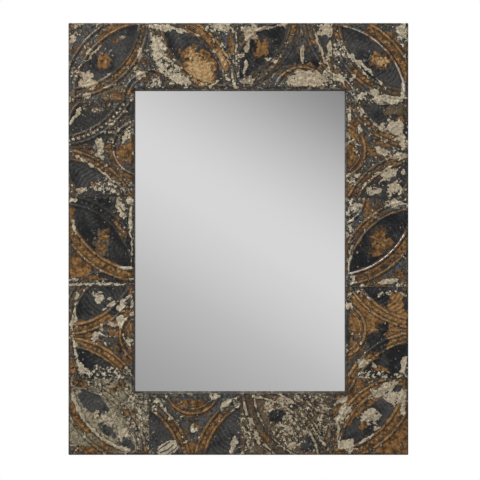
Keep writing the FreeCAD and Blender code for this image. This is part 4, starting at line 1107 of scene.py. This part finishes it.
def make_sheet(name, sizes):
    """Presses and folds one piece of tin, and writes its wear into the mesh."""
    sheet = Sheet(name, sizes)
    built = sheet.grid()
    mesh = bpy.data.meshes.new(name + "_pressed")
    built.to_mesh(mesh)
    built.free()
    points = np.empty(len(mesh.vertices) * 3)
    mesh.vertices.foreach_get("co", points)
    p, q, _ = points.reshape(-1, 3).T
    x, y = sheet.flat(p, q)
    to_fold, seam = sheet.edges(p, q)
    height, zones = sheet.pattern(x, y)
    layers, amounts = sheet.wear(x, y, zones, seam, to_fold)

    height = np.minimum(height, PRESSED_TOP)
    height = height * (SEAM_SHARE + (1 - SEAM_SHARE) * rise(seam, *SEAM_RISE)) * rise(to_fold, *FOLD_RISE)
    to_nail = np.min(np.hypot(x[:, None] - NAILS[:, 0], y[:, None] - NAILS[:, 1]), axis=1)
    off_nail = rise(to_nail, *NAIL_RISE)
    paint = PAINT_THICK * rise(layers["cream"], *PAINT_RISE)
    dents = (noise("dents", x, y, sheet.seed) + paint) * rise(to_fold, *DENT_RISE) * off_nail
    height = np.clip(height * off_nail + dents, LOWEST, HIGHEST)
    new_p, new_q, drop = sheet.place(p, q)
    across, down = sheet.flat(new_p, new_q)
    placed = np.stack([across + LEFT, -(TIN_FACE + height - drop), TOP - down], axis=1) * MM
    mesh.vertices.foreach_set("co", placed.ravel())

    ways = ((ROUND_ABOUT, 0), (-ROUND_ABOUT, 0), (0, ROUND_ABOUT), (0, -ROUND_ABOUT))
    around = sum(sheet.pattern(x + dx, y + dy)[0] for dx, dy in ways) / len(ways)
    over = height - np.minimum(around, PRESSED_TOP)
    inside = {**layers, "leaf": zones["leaf"]}
    values = {part: np.clip(0.5 + depth / SPREAD, 0, 1) for part, depth in inside.items()}
    values["line"] = np.clip(zones["line"] / SPREAD, 0, 1)
    values["crest"] = np.clip(0.5 + over / CREST_HEIGHT, 0, 1)
    values.update(amounts)
    for part in ("blued", "bright", "deep", "pale", "soiled"):
        values[part] = np.full_like(x, sheet.piece[part])
    for label, parts in WRITTEN.items():
        channels = np.zeros((len(x), CHANNELS), dtype=np.float32)
        for number, part in enumerate(parts):
            channels[:, number] = values[part]
        layer = mesh.attributes.new(label, "FLOAT_COLOR", "POINT")
        layer.data.foreach_set("color", channels.ravel())

    built = bmesh.new()
    built.from_mesh(mesh)
    add_rim(built)
    built.to_mesh(mesh)
    built.free()
    piece = bpy.data.objects.new(name + "_pressed", mesh)
    bpy.context.scene.collection.objects.link(piece)
    return piece


# Settings that several nodes share.
SMOOTH = {"interpolation_type": "SMOOTHSTEP"}
COLOUR = {"data_type": "RGBA"}
TIMES = {"operation": "MULTIPLY"}
TIMES_PLUS = {"operation": "MULTIPLY_ADD"}
LESS = {"operation": "SUBTRACT"}
MOST = {"operation": "MAXIMUM"}

# Sizes of the wear's patterns, in millimetres: the grain of a chipped edge, the blotches in rust
# and paint, the flecks by a seam with their dark rests and the holes in paint, the clouds and the
# mottle on bare sheet, grit and pitting. Real grit and pits are finer, and are drawn as coarse as
# they need to show.
CHIP_GRAIN = 2.6
BLOTCH = 11.0
FLECK = 6.0
DARK_FLECK = 7.2
HOLE = 6.9
CLOUD = 30.0
BLUE_CLOUD = 10.5
MOTTLE = 6.0
GRIT = 4.4
PITTING = 1.1
# How far a piece's old rust darkens its blotches, and how far its paleness and a painted highlight
# on the crests of its flutes lift the clouds of a leaf.
OLD_RUST = -0.14
LEAF_PALE = 0.25
LEAF_CREST = 0.35
# A fleck's edge in its noise, the share of the brightest rust that old rust loses, and the grit:
# how much it lightens and darkens, and how much less of it a leaf has.
FLECK_EDGE = (-0.012, 0.02)
OLD_DULLS = -0.8
GRIT_SWING = 0.78
LEAF_GRIT = -0.28
# The sheet's sheen, and what chalky paint and open rust leave of it.
STEEL_ROUGH = 0.44
STEEL_METAL = 0.55
CHALKY = 0.15
PIT_SHARE, PIT_STRENGTH, PIT_DEPTH = 0.5, 0.5, 0.25


def put(tree, kind, settings=None, inputs=None):
    """Adds a node. An input is a value, an output, or a node, whose first output is then meant."""
    node = tree.nodes.new(kind)
    for name, value in (settings or {}).items():
        setattr(node, name, value)
    for name, value in (inputs or {}).items():
        if isinstance(value, bpy.types.Node):
            value = value.outputs[0]
        if isinstance(value, bpy.types.NodeSocket):
            tree.links.new(value, node.inputs[name])
        else:
            node.inputs[name].default_value = value
    return node


def empty_tree(owner):
    """The cleared node tree of a material or a world."""
    owner.use_nodes = True
    owner.node_tree.nodes.clear()
    return owner.node_tree


def new_material(name):
    """An empty material with its shader, and the coordinates that its patterns read."""
    material = bpy.data.materials.new(name)
    tree = empty_tree(material)
    shader = put(tree, "ShaderNodeBsdfPrincipled")
    put(tree, "ShaderNodeOutputMaterial", inputs={"Surface": shader})
    place = put(tree, "ShaderNodeTexCoord").outputs["Object"]
    return material, tree, shader, place


def tin_material(colours):
    """Steel ceiling sheet with its thin tin coat gone, pressed, painted, stripped and lacquered.

    The bare sheet is a charcoal with a dull sheen, the rust is matt and mottled from brown to
    tan, and the paint lies on it as thin chalky islands with ragged edges and a painted shadow
    line round them. The relief is drawn in colour too: painted shade in its hollows, grooves and
    flute troughs and along some ridges, and painted highlight on some crests.
    """
    material, tree, shader, place = new_material("Pressed steel sheet, rusted and painted")
    wear = {}
    for label, parts in WRITTEN.items():
        source = put(tree, "ShaderNodeAttribute", {"attribute_name": label})
        split = put(tree, "ShaderNodeSeparateColor", inputs={"Color": source.outputs["Color"]})
        wear.update(zip(parts, (*split.outputs, source.outputs["Alpha"])))

    # Noises: the size of their features, detail, roughness, and a shift that sets them apart.
    grains = {}
    for name, size, detail, rough, shift in (
        ("chip", CHIP_GRAIN, 4.0, 0.62, 0.0),
        ("blotch", BLOTCH, 5.0, 0.65, 0.31),
        ("fleck", FLECK, 6.0, 0.72, 0.73),
        ("fleck_dark", DARK_FLECK, 6.0, 0.72, 1.17),
        ("hole", HOLE, 4.0, 0.65, 1.61),
        ("cloud", CLOUD, 4.0, 0.6, 2.11),
        ("pit", PITTING, 3.0, 0.6, 2.63),
        ("grit", GRIT, 4.0, 0.8, 3.07),
        ("blue", BLUE_CLOUD, 5.0, 0.7, 3.59),
        ("mottle", MOTTLE, 5.0, 0.7, 4.13),
    ):
        moved = put(tree, "ShaderNodeMapping", inputs={"Vector": place, "Location": (shift, shift, shift)})
        grains[name] = put(
            tree,
            "ShaderNodeTexNoise",
            inputs={"Vector": moved, "Scale": 1 / (size * MM), "Detail": detail, "Roughness": rough},
        )
    # A leaf is paler on some pieces, and the crests of its flutes are lightened as a painted highlight.
    for name, part, share, grain in (
        ("aged", "deep", OLD_RUST, "blotch"),
        ("cloud", "pale", LEAF_PALE, "cloud"),
        ("pale_and_crest_highlight", "crest", LEAF_CREST, "cloud"),
    ):
        grains[name] = put(tree, "ShaderNodeMath", TIMES_PLUS, {0: wear[part], 1: share, 2: grains[grain]})

    # Where each layer shows: its distance, the noise that frays its edge and how far, how soft
    # the edge is, and how far it is let out.
    masks = {}
    for name, part, grain, ragged, soft, lift in (
        ("cream", "cream", "chip", 0.55, 0.022, 0.0),
        # The next row is a painted shadow just outside the paint's edge.
        ("edge", "cream", "chip", 0.55, 0.06, 0.17),
        ("rust", "rust", "chip", 0.45, 0.2, 0.0),
        ("halo", "rust", "mottle", 0.5, 0.2, 0.22),
        # The next row is a painted shadow line.
        ("gap", "gap", "chip", 0.12, 0.06, 0.0),
        ("tan", "tan", "blotch", 0.9, 0.12, 0.0),
        # The next row is a painted highlight along a crest.
        ("shine", "shine", "blotch", 0.12, 0.05, 0.0),
        ("umber", "umber", "blotch", 0.8, 0.16, 0.0),
        ("wash", "wash", "fleck_dark", 0.9, 0.12, 0.0),
        ("bare", "bare", "chip", 0.45, 0.05, 0.0),
        ("leaf", "leaf", "chip", 0.12, 0.1, 0.0),
    ):
        frayed = put(tree, "ShaderNodeMath", TIMES_PLUS, {0: grains[grain], 1: ragged, 2: wear[part]})
        level = 0.5 + ragged / 2 - lift
        inputs = {"Value": frayed, "From Min": level - soft, "From Max": level + soft}
        masks[name] = put(tree, "ShaderNodeMapRange", SMOOTH, inputs)

    # Where flecks are thick the noise passes a lower level, so more of it shows.
    for name, grain, part, base, gain in (
        ("fleck", "fleck", "flecks", 0.66, -0.19),
        # The next row is a painted shadow round each fleck.
        ("fleck_shadow", "fleck", "flecks", 0.622, -0.19),
        ("fleck_dark", "fleck_dark", "flecks", 0.66, -0.18),
        ("hole", "hole", "holes", 0.72, -0.16),
        ("paint_hole", "hole", "cream", 0.69, -0.03),
    ):
        level = put(tree, "ShaderNodeMath", TIMES_PLUS, {0: wear[part], 1: gain, 2: base})
        over = put(tree, "ShaderNodeMath", LESS, {0: grains[grain], 1: level})
        inputs = {"Value": over, "From Min": FLECK_EDGE[0], "From Max": FLECK_EDGE[1]}
        masks[name] = put(tree, "ShaderNodeMapRange", SMOOTH, inputs)
    masks["hole"] = put(tree, "ShaderNodeMath", MOST, {0: masks["hole"], 1: masks["paint_hole"]})
    for name in ("hole", "leaf", "umber", "rust"):
        masks["not_" + name] = put(tree, "ShaderNodeMath", LESS, {0: 1.0, 1: masks[name]})
    paint = put(tree, "ShaderNodeMath", TIMES, {0: masks["cream"], 1: masks["not_hole"]})
    painted = put(tree, "ShaderNodeMath", MOST, {0: masks["fleck"], 1: paint})
    fresh = put(tree, "ShaderNodeMath", TIMES_PLUS, {0: wear["deep"], 1: OLD_DULLS, 2: 1.0})

    # The tones of each layer: a noise between two levels mixes its two colours.
    tones = {}
    for name, grain, dark, light, low, high in (
        ("steel", "mottle", colours.steel_dark, colours.steel_light, 0.42, 0.64),
        ("leaf", "pale_and_crest_highlight", colours.leaf_dark, colours.leaf_light, 0.60, 1.0),
        ("umber", "blotch", colours.grime, colours.umber, 0.35, 0.62),
        ("rust", "aged", colours.rust_dark, colours.rust_light, 0.33, 0.55),
        ("tan", "fleck_dark", colours.rust_light, colours.tan, 0.36, 0.52),
        ("paint", "fleck_dark", colours.paint_dirty, colours.paint, 0.36, 0.56),
        ("chip", "fleck_dark", colours.paint, colours.chip, 0.4, 0.6),
        ("wash", "fleck", colours.grime, colours.wash, 0.32, 0.58),
    ):
        inputs = {"Value": grains[grain], "From Min": low, "From Max": high}
        share = put(tree, "ShaderNodeMapRange", SMOOTH, inputs)
        tone = put(tree, "ShaderNodeMix", COLOUR, {0: share, 6: linear(dark), 7: linear(light)})
        tones[name] = tone.outputs[2]

    # Crests of ridges get a thin bright line, partly rubbed paint and partly painted highlight, and
    # the grooves beside them are darkened, partly as dirt and partly as painted shade.
    # Each row gives where the mark starts, where it is whole and how strong it is then.
    marks = {}
    for name, value, start, end, most in (
        ("crest", wear["line"], 2.0 / SPREAD, 0.7 / SPREAD, 1.0),
        ("out", wear["line"], 2.0 / SPREAD, 3.0 / SPREAD, 1.0),
        ("back", wear["line"], 5.5 / SPREAD, 3.6 / SPREAD, 1.0),
        # The next row paints shade into the hollows of the relief.
        ("hollow", wear["crest"], 0.47, 0.32, 0.6),
        # The next row paints a highlight on the tops of beads and ridges in rust.
        ("dome", wear["crest"], 0.53, 0.72, 0.55),
        # The next row paints shade into the troughs of a leaf's flutes.
        ("flute_shade", wear["crest"], 0.5, 0.36, 0.4),
        ("rim_in", wear["leaf"], 0.5, 0.5 + 1.2 / SPREAD, 1.0),
        ("rim_out", wear["leaf"], 0.5 + 3.8 / SPREAD, 0.5 + 2.2 / SPREAD, 0.8),
        ("broken", grains["mottle"], 0.47, 0.6, 1.0),
        ("gleam", grains["mottle"], 0.4, 0.52, 1.0),
        ("blue", grains["blue"], 0.46, 0.6, 1.0),
        ("brown", grains["fleck_dark"], 0.5, 0.6, 0.75),
        ("stain", grains["mottle"], 0.54, 0.66, 0.6),
        ("soil", grains["hole"], 0.35, 0.55, 1.0),
    ):
        inputs = {"Value": value, "From Min": start, "From Max": end, "To Max": most}
        marks[name] = put(tree, "ShaderNodeMapRange", SMOOTH, inputs)
    for name, *factors in (
        ("line", marks["crest"], wear["bright"], marks["broken"], masks["not_rust"], masks["not_umber"]),
        ("groove_dirt_and_shade", marks["out"], marks["back"], 0.25),
        ("hollow", marks["hollow"], masks["not_leaf"]),
        ("flute_shade", marks["flute_shade"], masks["leaf"]),
        ("dome", marks["dome"], masks["rust"], fresh),
        ("halo", masks["halo"], 0.5),
        ("rim", marks["rim_in"], marks["rim_out"]),
        ("shine", masks["shine"], marks["gleam"]),
        ("blued", marks["blue"], wear["blued"]),
        ("brown", marks["brown"], masks["not_leaf"]),
        ("stain", marks["stain"], paint),
        ("soil", painted, wear["soiled"], marks["soil"]),
    ):
        product = factors[0]
        for factor in factors[1:]:
            product = put(tree, "ShaderNodeMath", TIMES, {0: product, 1: factor})
        marks[name] = product

    # The layers from the bottom up: where each shows, its colour, its roughness and its metal.
    colour, rough, metal = tones["steel"], STEEL_ROUGH, STEEL_METAL
    # The dark of painted shade and painted shadow lines.
    black = linear(colours.painted_shade)
    for mask, tone, roughness, metallic in (
        (marks["blued"], linear(colours.steel_blue), STEEL_ROUGH, STEEL_METAL),
        (masks["leaf"], tones["leaf"], STEEL_ROUGH, STEEL_METAL),
        # Painted shade in the troughs of a leaf's flutes.
        (marks["flute_shade"], black, 0.5, 0.4),
        (marks["rim"], linear(colours.grime), 0.7, 0.1),
        (marks["brown"], linear(colours.umber), 0.62, 0.2),
        (masks["umber"], tones["umber"], 0.62, 0.2),
        (masks["wash"], tones["wash"], 0.66, 0.0),
        (masks["bare"], tones["leaf"], STEEL_ROUGH, STEEL_METAL),
        (marks["halo"], linear(colours.rust_dark), 0.7, 0.1),
        (masks["rust"], tones["rust"], 0.74, 0.0),
        (masks["tan"], tones["tan"], 0.7, 0.0),
        # Painted highlight: tan on the tops of beads and ridges in rust.
        (marks["dome"], tones["tan"], 0.6, 0.1),
        (masks["fleck_dark"], linear(colours.leaf_dark), 0.5, 0.4),
        # Painted shadow round each fleck.
        (masks["fleck_shadow"], black, 0.6, 0.1),
        (masks["fleck"], tones["chip"], 0.62, 0.0),
        # Painted shade in the hollows of the relief.
        (marks["hollow"], black, 0.7, 0.0),
        # Grooves beside ridges darkened, partly as dirt and partly as painted shade.
        (marks["groove_dirt_and_shade"], black, 0.7, 0.0),
        # Painted shadow just outside the paint's edge.
        (masks["edge"], black, 0.6, 0.1),
        (paint, tones["paint"], 0.6, 0.0),
        (marks["stain"], linear(colours.stain), 0.65, 0.0),
        (marks["soil"], linear(colours.stain), 0.65, 0.0),
        # Bright crest line: rubbed paint and painted highlight.
        (marks["line"], linear(colours.rubbed_paint_and_highlight), 0.45, 0.4),
        # Painted shadow lines beside ridges, and painted dark over some crests.
        (masks["gap"], black, 0.7, 0.0),
        # Painted highlight along a ridge's crest.
        (marks["shine"], linear(colours.shine), 0.35, 0.5),
    ):
        colour = put(tree, "ShaderNodeMix", COLOUR, {0: mask, 6: colour, 7: tone}).outputs[2]
        rough = put(tree, "ShaderNodeMix", inputs={0: mask, 2: rough, 3: roughness})
        metal = put(tree, "ShaderNodeMix", inputs={0: mask, 2: metal, 3: metallic})

    # A fine grit over everything, weaker on a leaf's clean sheet.
    ends = {"From Min": 0.3, "From Max": 0.7, "To Min": 1 - GRIT_SWING, "To Max": 1 + GRIT_SWING}
    grit = put(tree, "ShaderNodeMapRange", inputs={"Value": grains["grit"], **ends})
    share = put(tree, "ShaderNodeMath", TIMES_PLUS, {0: masks["leaf"], 1: LEAF_GRIT, 2: 1.0})
    colour = put(tree, "ShaderNodeHueSaturation", inputs={"Color": colour, "Value": grit, "Fac": share})
    relief = put(tree, "ShaderNodeMath", TIMES_PLUS, {0: grains["pit"], 1: PIT_SHARE, 2: paint})
    inputs = {"Height": relief, "Strength": PIT_STRENGTH, "Distance": PIT_DEPTH * MM}
    bump = put(tree, "ShaderNodeBump", inputs=inputs)
    for name, node in (("Base Color", colour), ("Roughness", rough), ("Metallic", metal), ("Normal", bump)):
        tree.links.new(node.outputs[0], shader.inputs[name])
    shader.inputs["Specular IOR Level"].default_value = CHALKY
    return material


# The lines of a grain are this many times as long as they are apart. The lip round the glass is
# blackened this deep, in millimetres, so that the mirror doesn't show pale wood.
GRAIN_STRETCH = 40
LIP_SKIN = 0.6


def wood_material(name, dark, light, grain, ring, lip=None):
    """Planed softwood or a turned hardwood: fine lines this far apart in mm along the grain's axis.

    It gives the eye pale stripes a few millimetres wide, matt and slightly uneven. A lip is given
    by the axis across it, which way it faces and where it lies.
    """
    material, tree, shader, place = new_material(name)
    scale = [1 / (ring * MM)] * 3
    scale[grain] = 1 / (ring * GRAIN_STRETCH * MM)
    stretched = put(tree, "ShaderNodeMapping", inputs={"Vector": place, "Scale": scale})
    lines = put(
        tree,
        "ShaderNodeTexNoise",
        inputs={"Vector": stretched, "Scale": 1.0, "Detail": 4.0, "Roughness": 0.6, "Distortion": 0.4},
    )
    share = put(tree, "ShaderNodeMapRange", SMOOTH, {"Value": lines, "From Min": 0.35, "From Max": 0.65})
    colour = put(tree, "ShaderNodeMix", COLOUR, {0: share, 6: linear(dark), 7: linear(light)}).outputs[2]
    bump = put(tree, "ShaderNodeBump", inputs={"Height": lines, "Strength": 0.3, "Distance": 0.2 * MM})
    if lip:
        axis, way, level = lip
        split = put(tree, "ShaderNodeSeparateXYZ", inputs={"Vector": place})
        inputs = {0: split.outputs[axis], 1: way, 2: -way * level}
        past = put(tree, "ShaderNodeMath", TIMES_PLUS, inputs)
        on_lip = put(tree, "ShaderNodeMath", {"operation": "GREATER_THAN"}, {0: past, 1: -LIP_SKIN * MM})
        colour = put(tree, "ShaderNodeMix", COLOUR, {0: on_lip, 6: colour, 7: linear("#211C17")}).outputs[2]
    tree.links.new(colour, shader.inputs["Base Color"])
    tree.links.new(bump.outputs[0], shader.inputs["Normal"])
    shader.inputs["Roughness"].default_value = 0.62
    return material


def plain_material(name, colour, roughness, metallic, grain=2.0, depth=0.0, spread=0.0):
    """One colour, with a faint unevenness of this grain in mm in its colour and its surface."""
    material, tree, shader, place = new_material(name)
    shader.inputs["Base Color"].default_value = linear(colour)
    shader.inputs["Roughness"].default_value = roughness
    shader.inputs["Metallic"].default_value = metallic
    inputs = {"Vector": place, "Scale": 1 / (grain * MM), "Detail": 3.0, "Roughness": 0.6}
    felt = put(tree, "ShaderNodeTexNoise", inputs=inputs)
    if spread:
        ends = {"From Min": 0.3, "From Max": 0.7, "To Min": 1 - spread, "To Max": 1 + spread}
        value = put(tree, "ShaderNodeMapRange", inputs={"Value": felt, **ends})
        tinted = put(tree, "ShaderNodeHueSaturation", inputs={"Color": linear(colour), "Value": value})
        tree.links.new(tinted.outputs[0], shader.inputs["Base Color"])
    if depth:
        inputs = {"Height": felt, "Strength": 0.5, "Distance": depth * MM}
        bump = put(tree, "ShaderNodeBump", inputs=inputs)
        tree.links.new(bump.outputs[0], shader.inputs["Normal"])
    return material


def dress(material, *nodes):
    """Gives CAD nodes a material; their meshes stay as they are."""
    for name in nodes:
        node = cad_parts[name]
        node.data.materials.clear()
        node.data.materials.append(material)


class TINMIRROR_OT_tin(bpy.types.Operator):
    """Presses, folds, paints and rusts the fourteen pieces of tin."""

    bl_idname = "object.tinmirror_tin"
    bl_label = "Pressed tin pieces"

    def execute(self, context):
        material = tin_material(context.scene.tinmirror_colours)
        for name in PIECES:
            piece = make_sheet(name, context.scene.tinmirror_sizes)
            piece.data.materials.append(material)
            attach(piece, "frame")
            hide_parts(name)
        return {"FINISHED"}


class TINMIRROR_OT_wood(bpy.types.Operator):
    """Gives the boards, dowels and back panel their wood."""

    bl_idname = "object.tinmirror_wood"
    bl_label = "Boards, dowels and back panel"

    def execute(self, context):
        # Pine, planed: cream-brown with darker lines about 4 mm apart along each board.
        for name, grain, way in (
            ("left_stile", 2, 1),
            ("right_stile", 2, -1),
            ("top_rail", 0, -1),
            ("bottom_rail", 0, 1),
        ):
            across = 2 - grain
            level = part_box(name)[1 if way > 0 else 0][across]
            lip = (across, way, level)
            dress(wood_material("Planed pine", "#A67C4B", "#CDAE7C", grain, 4.0, lip), name)
        # Beech, turned: a close pinkish brown.
        dowels = [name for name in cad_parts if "dowel" in name]
        dress(wood_material("Turned beech", "#A9825C", "#C29C74", 0, 1.2), *dowels)
        # Hardboard, hot pressed: an even brown with a fine felted grain.
        board = plain_material("Hardboard", "#6E4E35", 0.7, 0.0, grain=1.6, depth=0.08, spread=0.16)
        dress(board, "backing_board")
        return {"FINISHED"}


class TINMIRROR_OT_glass(bpy.types.Operator):
    """Silvers the mirror."""

    bl_idname = "object.tinmirror_glass"
    bl_label = "Mirror"

    def execute(self, context):
        # Float glass, silvered: a bright reflection with no grain at all.
        dress(plain_material("Silvered float glass", "#EEEEEE", 0.0, 1.0), "mirror_glass")
        return {"FINISHED"}


class TINMIRROR_OT_hardware(bpy.types.Operator):
    """Gives the nails, screws, hangers and bumpers their metals and rubber."""

    bl_idname = "object.tinmirror_hardware"
    bl_label = "Nails, screws, hangers and bumpers"

    def execute(self, context):
        # Steel wire nails, drawn and dulled: small grey points with a soft sheen.
        nails = plain_material("Dull steel wire", "#6B6862", 0.42, 0.8, grain=1.0, depth=0.04, spread=0.2)
        # Zinc-plated steel: a pale grey, fairly bright metal.
        zinc = plain_material("Zinc-plated steel", "#B9BABA", 0.32, 1.0, grain=3.0, spread=0.05)
        # Moulded rubber: black and matt.
        rubber = plain_material("Moulded rubber", "#1D1C1B", 0.75, 0.0, grain=0.8, depth=0.03)
        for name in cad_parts:
            if "nails" in name:
                dress(nails, name)
            elif "screws" in name or "strap" in name or "ring" in name:
                dress(zinc, name)
            elif "bumper" in name:
                dress(rubber, name)
        return {"FINISHED"}


# The stage, in metres: the camera's film, whose width is in millimetres, and how far it sees, the
# lamps with their power's setting, width and place, the floor, and the card behind the camera.
FILM = 36.0
VIEW_END = 50.0
LAMPS = {
    "Key lamp": ("key", 0.7, (-1.6, -1.05, 1.9)),
    "Fill lamp": ("fill", 1.4, (1.7, -1.8, 0.3)),
    "Low lamp": ("low", 1.2, (-0.4, -1.7, -1.2)),
}
FLOOR_LEVEL = -1.3
FLOOR_SIZE = 6.0
CARD_PLACE = -3.2
CARD_SIZE = 6.0

# The mirror's grey by how far a point lies below a slanting line through its upper middle, as
# sRGB levels: dark in the top right corner, palest near the line and darker to the lower left.
# Distances are in mm on the mirror.
MIRROR_GREYS = (
    (-300, 128),
    (-271, 131),
    (-175, 176),
    (-79, 206),
    (0, 216),
    (70, 214),
    (198, 190),
    (390, 150),
    (440, 144),
)
LINE_THROUGH = (2.9, 62.8)
LINE_SLOPE = 0.605


def card_material(stage):
    """A grey card with a wide soft gradient, lit from itself; it gives the mirror its greys."""
    material = bpy.data.materials.new("Grey card")
    tree = empty_tree(material)
    place = put(tree, "ShaderNodeTexCoord").outputs["Object"]
    split = put(tree, "ShaderNodeSeparateXYZ", inputs={"Vector": place})
    # A point on the card is seen where the ray from the camera's image crosses the glass.
    glass = -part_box("mirror_glass")[0].y
    to_glass = stage.distance + TIN_FACE * MM - glass
    spread = (to_glass - CARD_PLACE - glass) / to_glass
    centre_x, centre_z = stage.off_across * MM, stage.off_up * MM
    through_x = centre_x + (LINE_THROUGH[0] * MM - centre_x) * spread
    through_z = centre_z + (LINE_THROUGH[1] * MM - centre_z) * spread
    first, last = MIRROR_GREYS[0][0], MIRROR_GREYS[-1][0]
    span = (last - first) * MM * spread * math.hypot(1, LINE_SLOPE)
    below = (through_x * LINE_SLOPE + through_z) / span - first / (last - first)
    for axis, slope in (("X", -LINE_SLOPE), ("Z", -1)):
        inputs = {0: split.outputs[axis], 1: slope / span, 2: below}
        below = put(tree, "ShaderNodeMath", TIMES_PLUS, inputs)
    ramp = put(tree, "ShaderNodeValToRGB", inputs={"Fac": below})
    elements = ramp.color_ramp.elements
    while len(elements) < len(MIRROR_GREYS):
        elements.new(0.5)
    for element, (away, grey) in zip(elements, MIRROR_GREYS):
        element.position = (away - first) / (last - first)
        element.color = linear("#" + f"{grey:02X}" * 3)
    ramp.color_ramp.interpolation = "B_SPLINE"
    shine = put(tree, "ShaderNodeEmission", inputs={"Color": ramp, "Strength": stage.card})
    put(tree, "ShaderNodeOutputMaterial", inputs={"Surface": shine})
    return material


def square(name, size, middle, facing, material):
    """A flat square of this size in metres, with its middle there and facing that way."""
    mesh = bpy.data.meshes.new(name)
    built = bmesh.new()
    bmesh.ops.create_grid(built, x_segments=1, y_segments=1, size=size / 2)
    turn = Vector((0, 0, 1)).rotation_difference(Vector(facing)).to_matrix()
    bmesh.ops.rotate(built, cent=(0, 0, 0), matrix=turn, verts=built.verts)
    bmesh.ops.translate(built, vec=Vector(middle), verts=built.verts)
    built.to_mesh(mesh)
    built.free()
    mesh.materials.append(material)
    flat = bpy.data.objects.new(name, mesh)
    bpy.context.scene.collection.objects.link(flat)
    return flat


class TINMIRROR_OT_stage(bpy.types.Operator):
    """Sets the camera, the lamps, the floor, the world and what the mirror shows."""

    bl_idname = "object.tinmirror_stage"
    bl_label = "Stage"

    def execute(self, context):
        scene = context.scene
        stage = scene.tinmirror_stage
        scene.view_settings.view_transform = "Standard"

        # Straight on, with the frame as large in the picture as the reference has it.
        data = bpy.data.cameras.new("Camera")
        data.sensor_width = FILM
        data.lens = FILM * stage.distance / stage.view_width
        data.clip_end = VIEW_END
        face = -TIN_FACE * MM
        camera = bpy.data.objects.new("Camera", data)
        camera.location = (stage.off_across * MM, face - stage.distance, stage.off_up * MM)
        camera.rotation_euler = (math.pi / 2, 0.0, 0.0)
        scene.collection.objects.link(camera)
        scene.camera = camera
        for name, (power, size, location) in LAMPS.items():
            light = bpy.data.lights.new(name, "AREA")
            light.energy = getattr(stage, power)
            light.size = size
            lamp = bpy.data.objects.new(name, light)
            lamp.location = location
            lamp.rotation_euler = (Vector((0, face, 0)) - lamp.location).to_track_quat("-Z", "Y").to_euler()
            scene.collection.objects.link(lamp)

        # The camera and the mirror see plain white, and the object is lit by a soft grey.
        scene.world = bpy.data.worlds.new("Studio")
        tree = empty_tree(scene.world)
        rays = put(tree, "ShaderNodeLightPath").outputs
        seen = rays["Is Camera Ray"]
        for ray in ("Is Glossy Ray", "Is Transmission Ray"):
            seen = put(tree, "ShaderNodeMath", MOST, {0: seen, 1: rays[ray]})
        soft = put(tree, "ShaderNodeBackground", inputs={"Color": (1, 1, 1, 1), "Strength": stage.world})
        white = put(tree, "ShaderNodeBackground", inputs={"Color": (1, 1, 1, 1), "Strength": 1.0})
        both = put(tree, "ShaderNodeMixShader", inputs={0: seen, 1: soft, 2: white})
        put(tree, "ShaderNodeOutputWorld", inputs={"Surface": both})

        # Plaster, painted: matt and pale.
        plaster = plain_material("Matt white paint", "#E4E4E2", 0.8, 0.0)
        floor = square("Floor", FLOOR_SIZE, (0, 0, FLOOR_LEVEL), (0, 0, 1), plaster)
        # What the mirror shows: a card behind the camera, seen by reflections alone.
        card = square("Reflector card", CARD_SIZE, (0, CARD_PLACE, 0), (0, 1, 0), card_material(stage))
        for ray in ("camera", "diffuse", "transmission", "volume_scatter", "shadow"):
            setattr(card, "visible_" + ray, False)
        return {"FINISHED"}


class TINMIRROR_PT_panel(bpy.types.Panel):
    """Lists the steps that build the mirror, and their settings."""

    bl_idname = "TINMIRROR_PT_panel"
    bl_label = "Tin mirror"
    bl_space_type = "VIEW_3D"
    bl_region_type = "UI"
    bl_category = "Tin mirror"

    def draw(self, context):
        for operator in OPERATORS:
            self.layout.operator(operator.bl_idname)
        for label in SETTINGS:
            settings = getattr(context.scene, label)
            box = self.layout.box()
            for name in settings.__annotations__:
                box.prop(settings, name)


OPERATORS = (
    TINMIRROR_OT_tin,
    TINMIRROR_OT_wood,
    TINMIRROR_OT_glass,
    TINMIRROR_OT_hardware,
    TINMIRROR_OT_stage,
)
SETTINGS = {
    "tinmirror_sizes": TinSizes,
    "tinmirror_colours": TinColours,
    "tinmirror_stage": StageSettings,
}
CLASSES = (*SETTINGS.values(), *OPERATORS, TINMIRROR_PT_panel)


def register():
    for each in CLASSES:
        bpy.utils.register_class(each)
    for label, settings in SETTINGS.items():
        setattr(bpy.types.Scene, label, PointerProperty(type=settings))


def unregister():
    for label in SETTINGS:
        delattr(bpy.types.Scene, label)
    for each in reversed(CLASSES):
        bpy.utils.unregister_class(each)


def main():
    register()
    for operator in OPERATORS:
        group, name = operator.bl_idname.split(".")
        getattr(getattr(bpy.ops, group), name)()


if __name__ == "__main__":
    main()
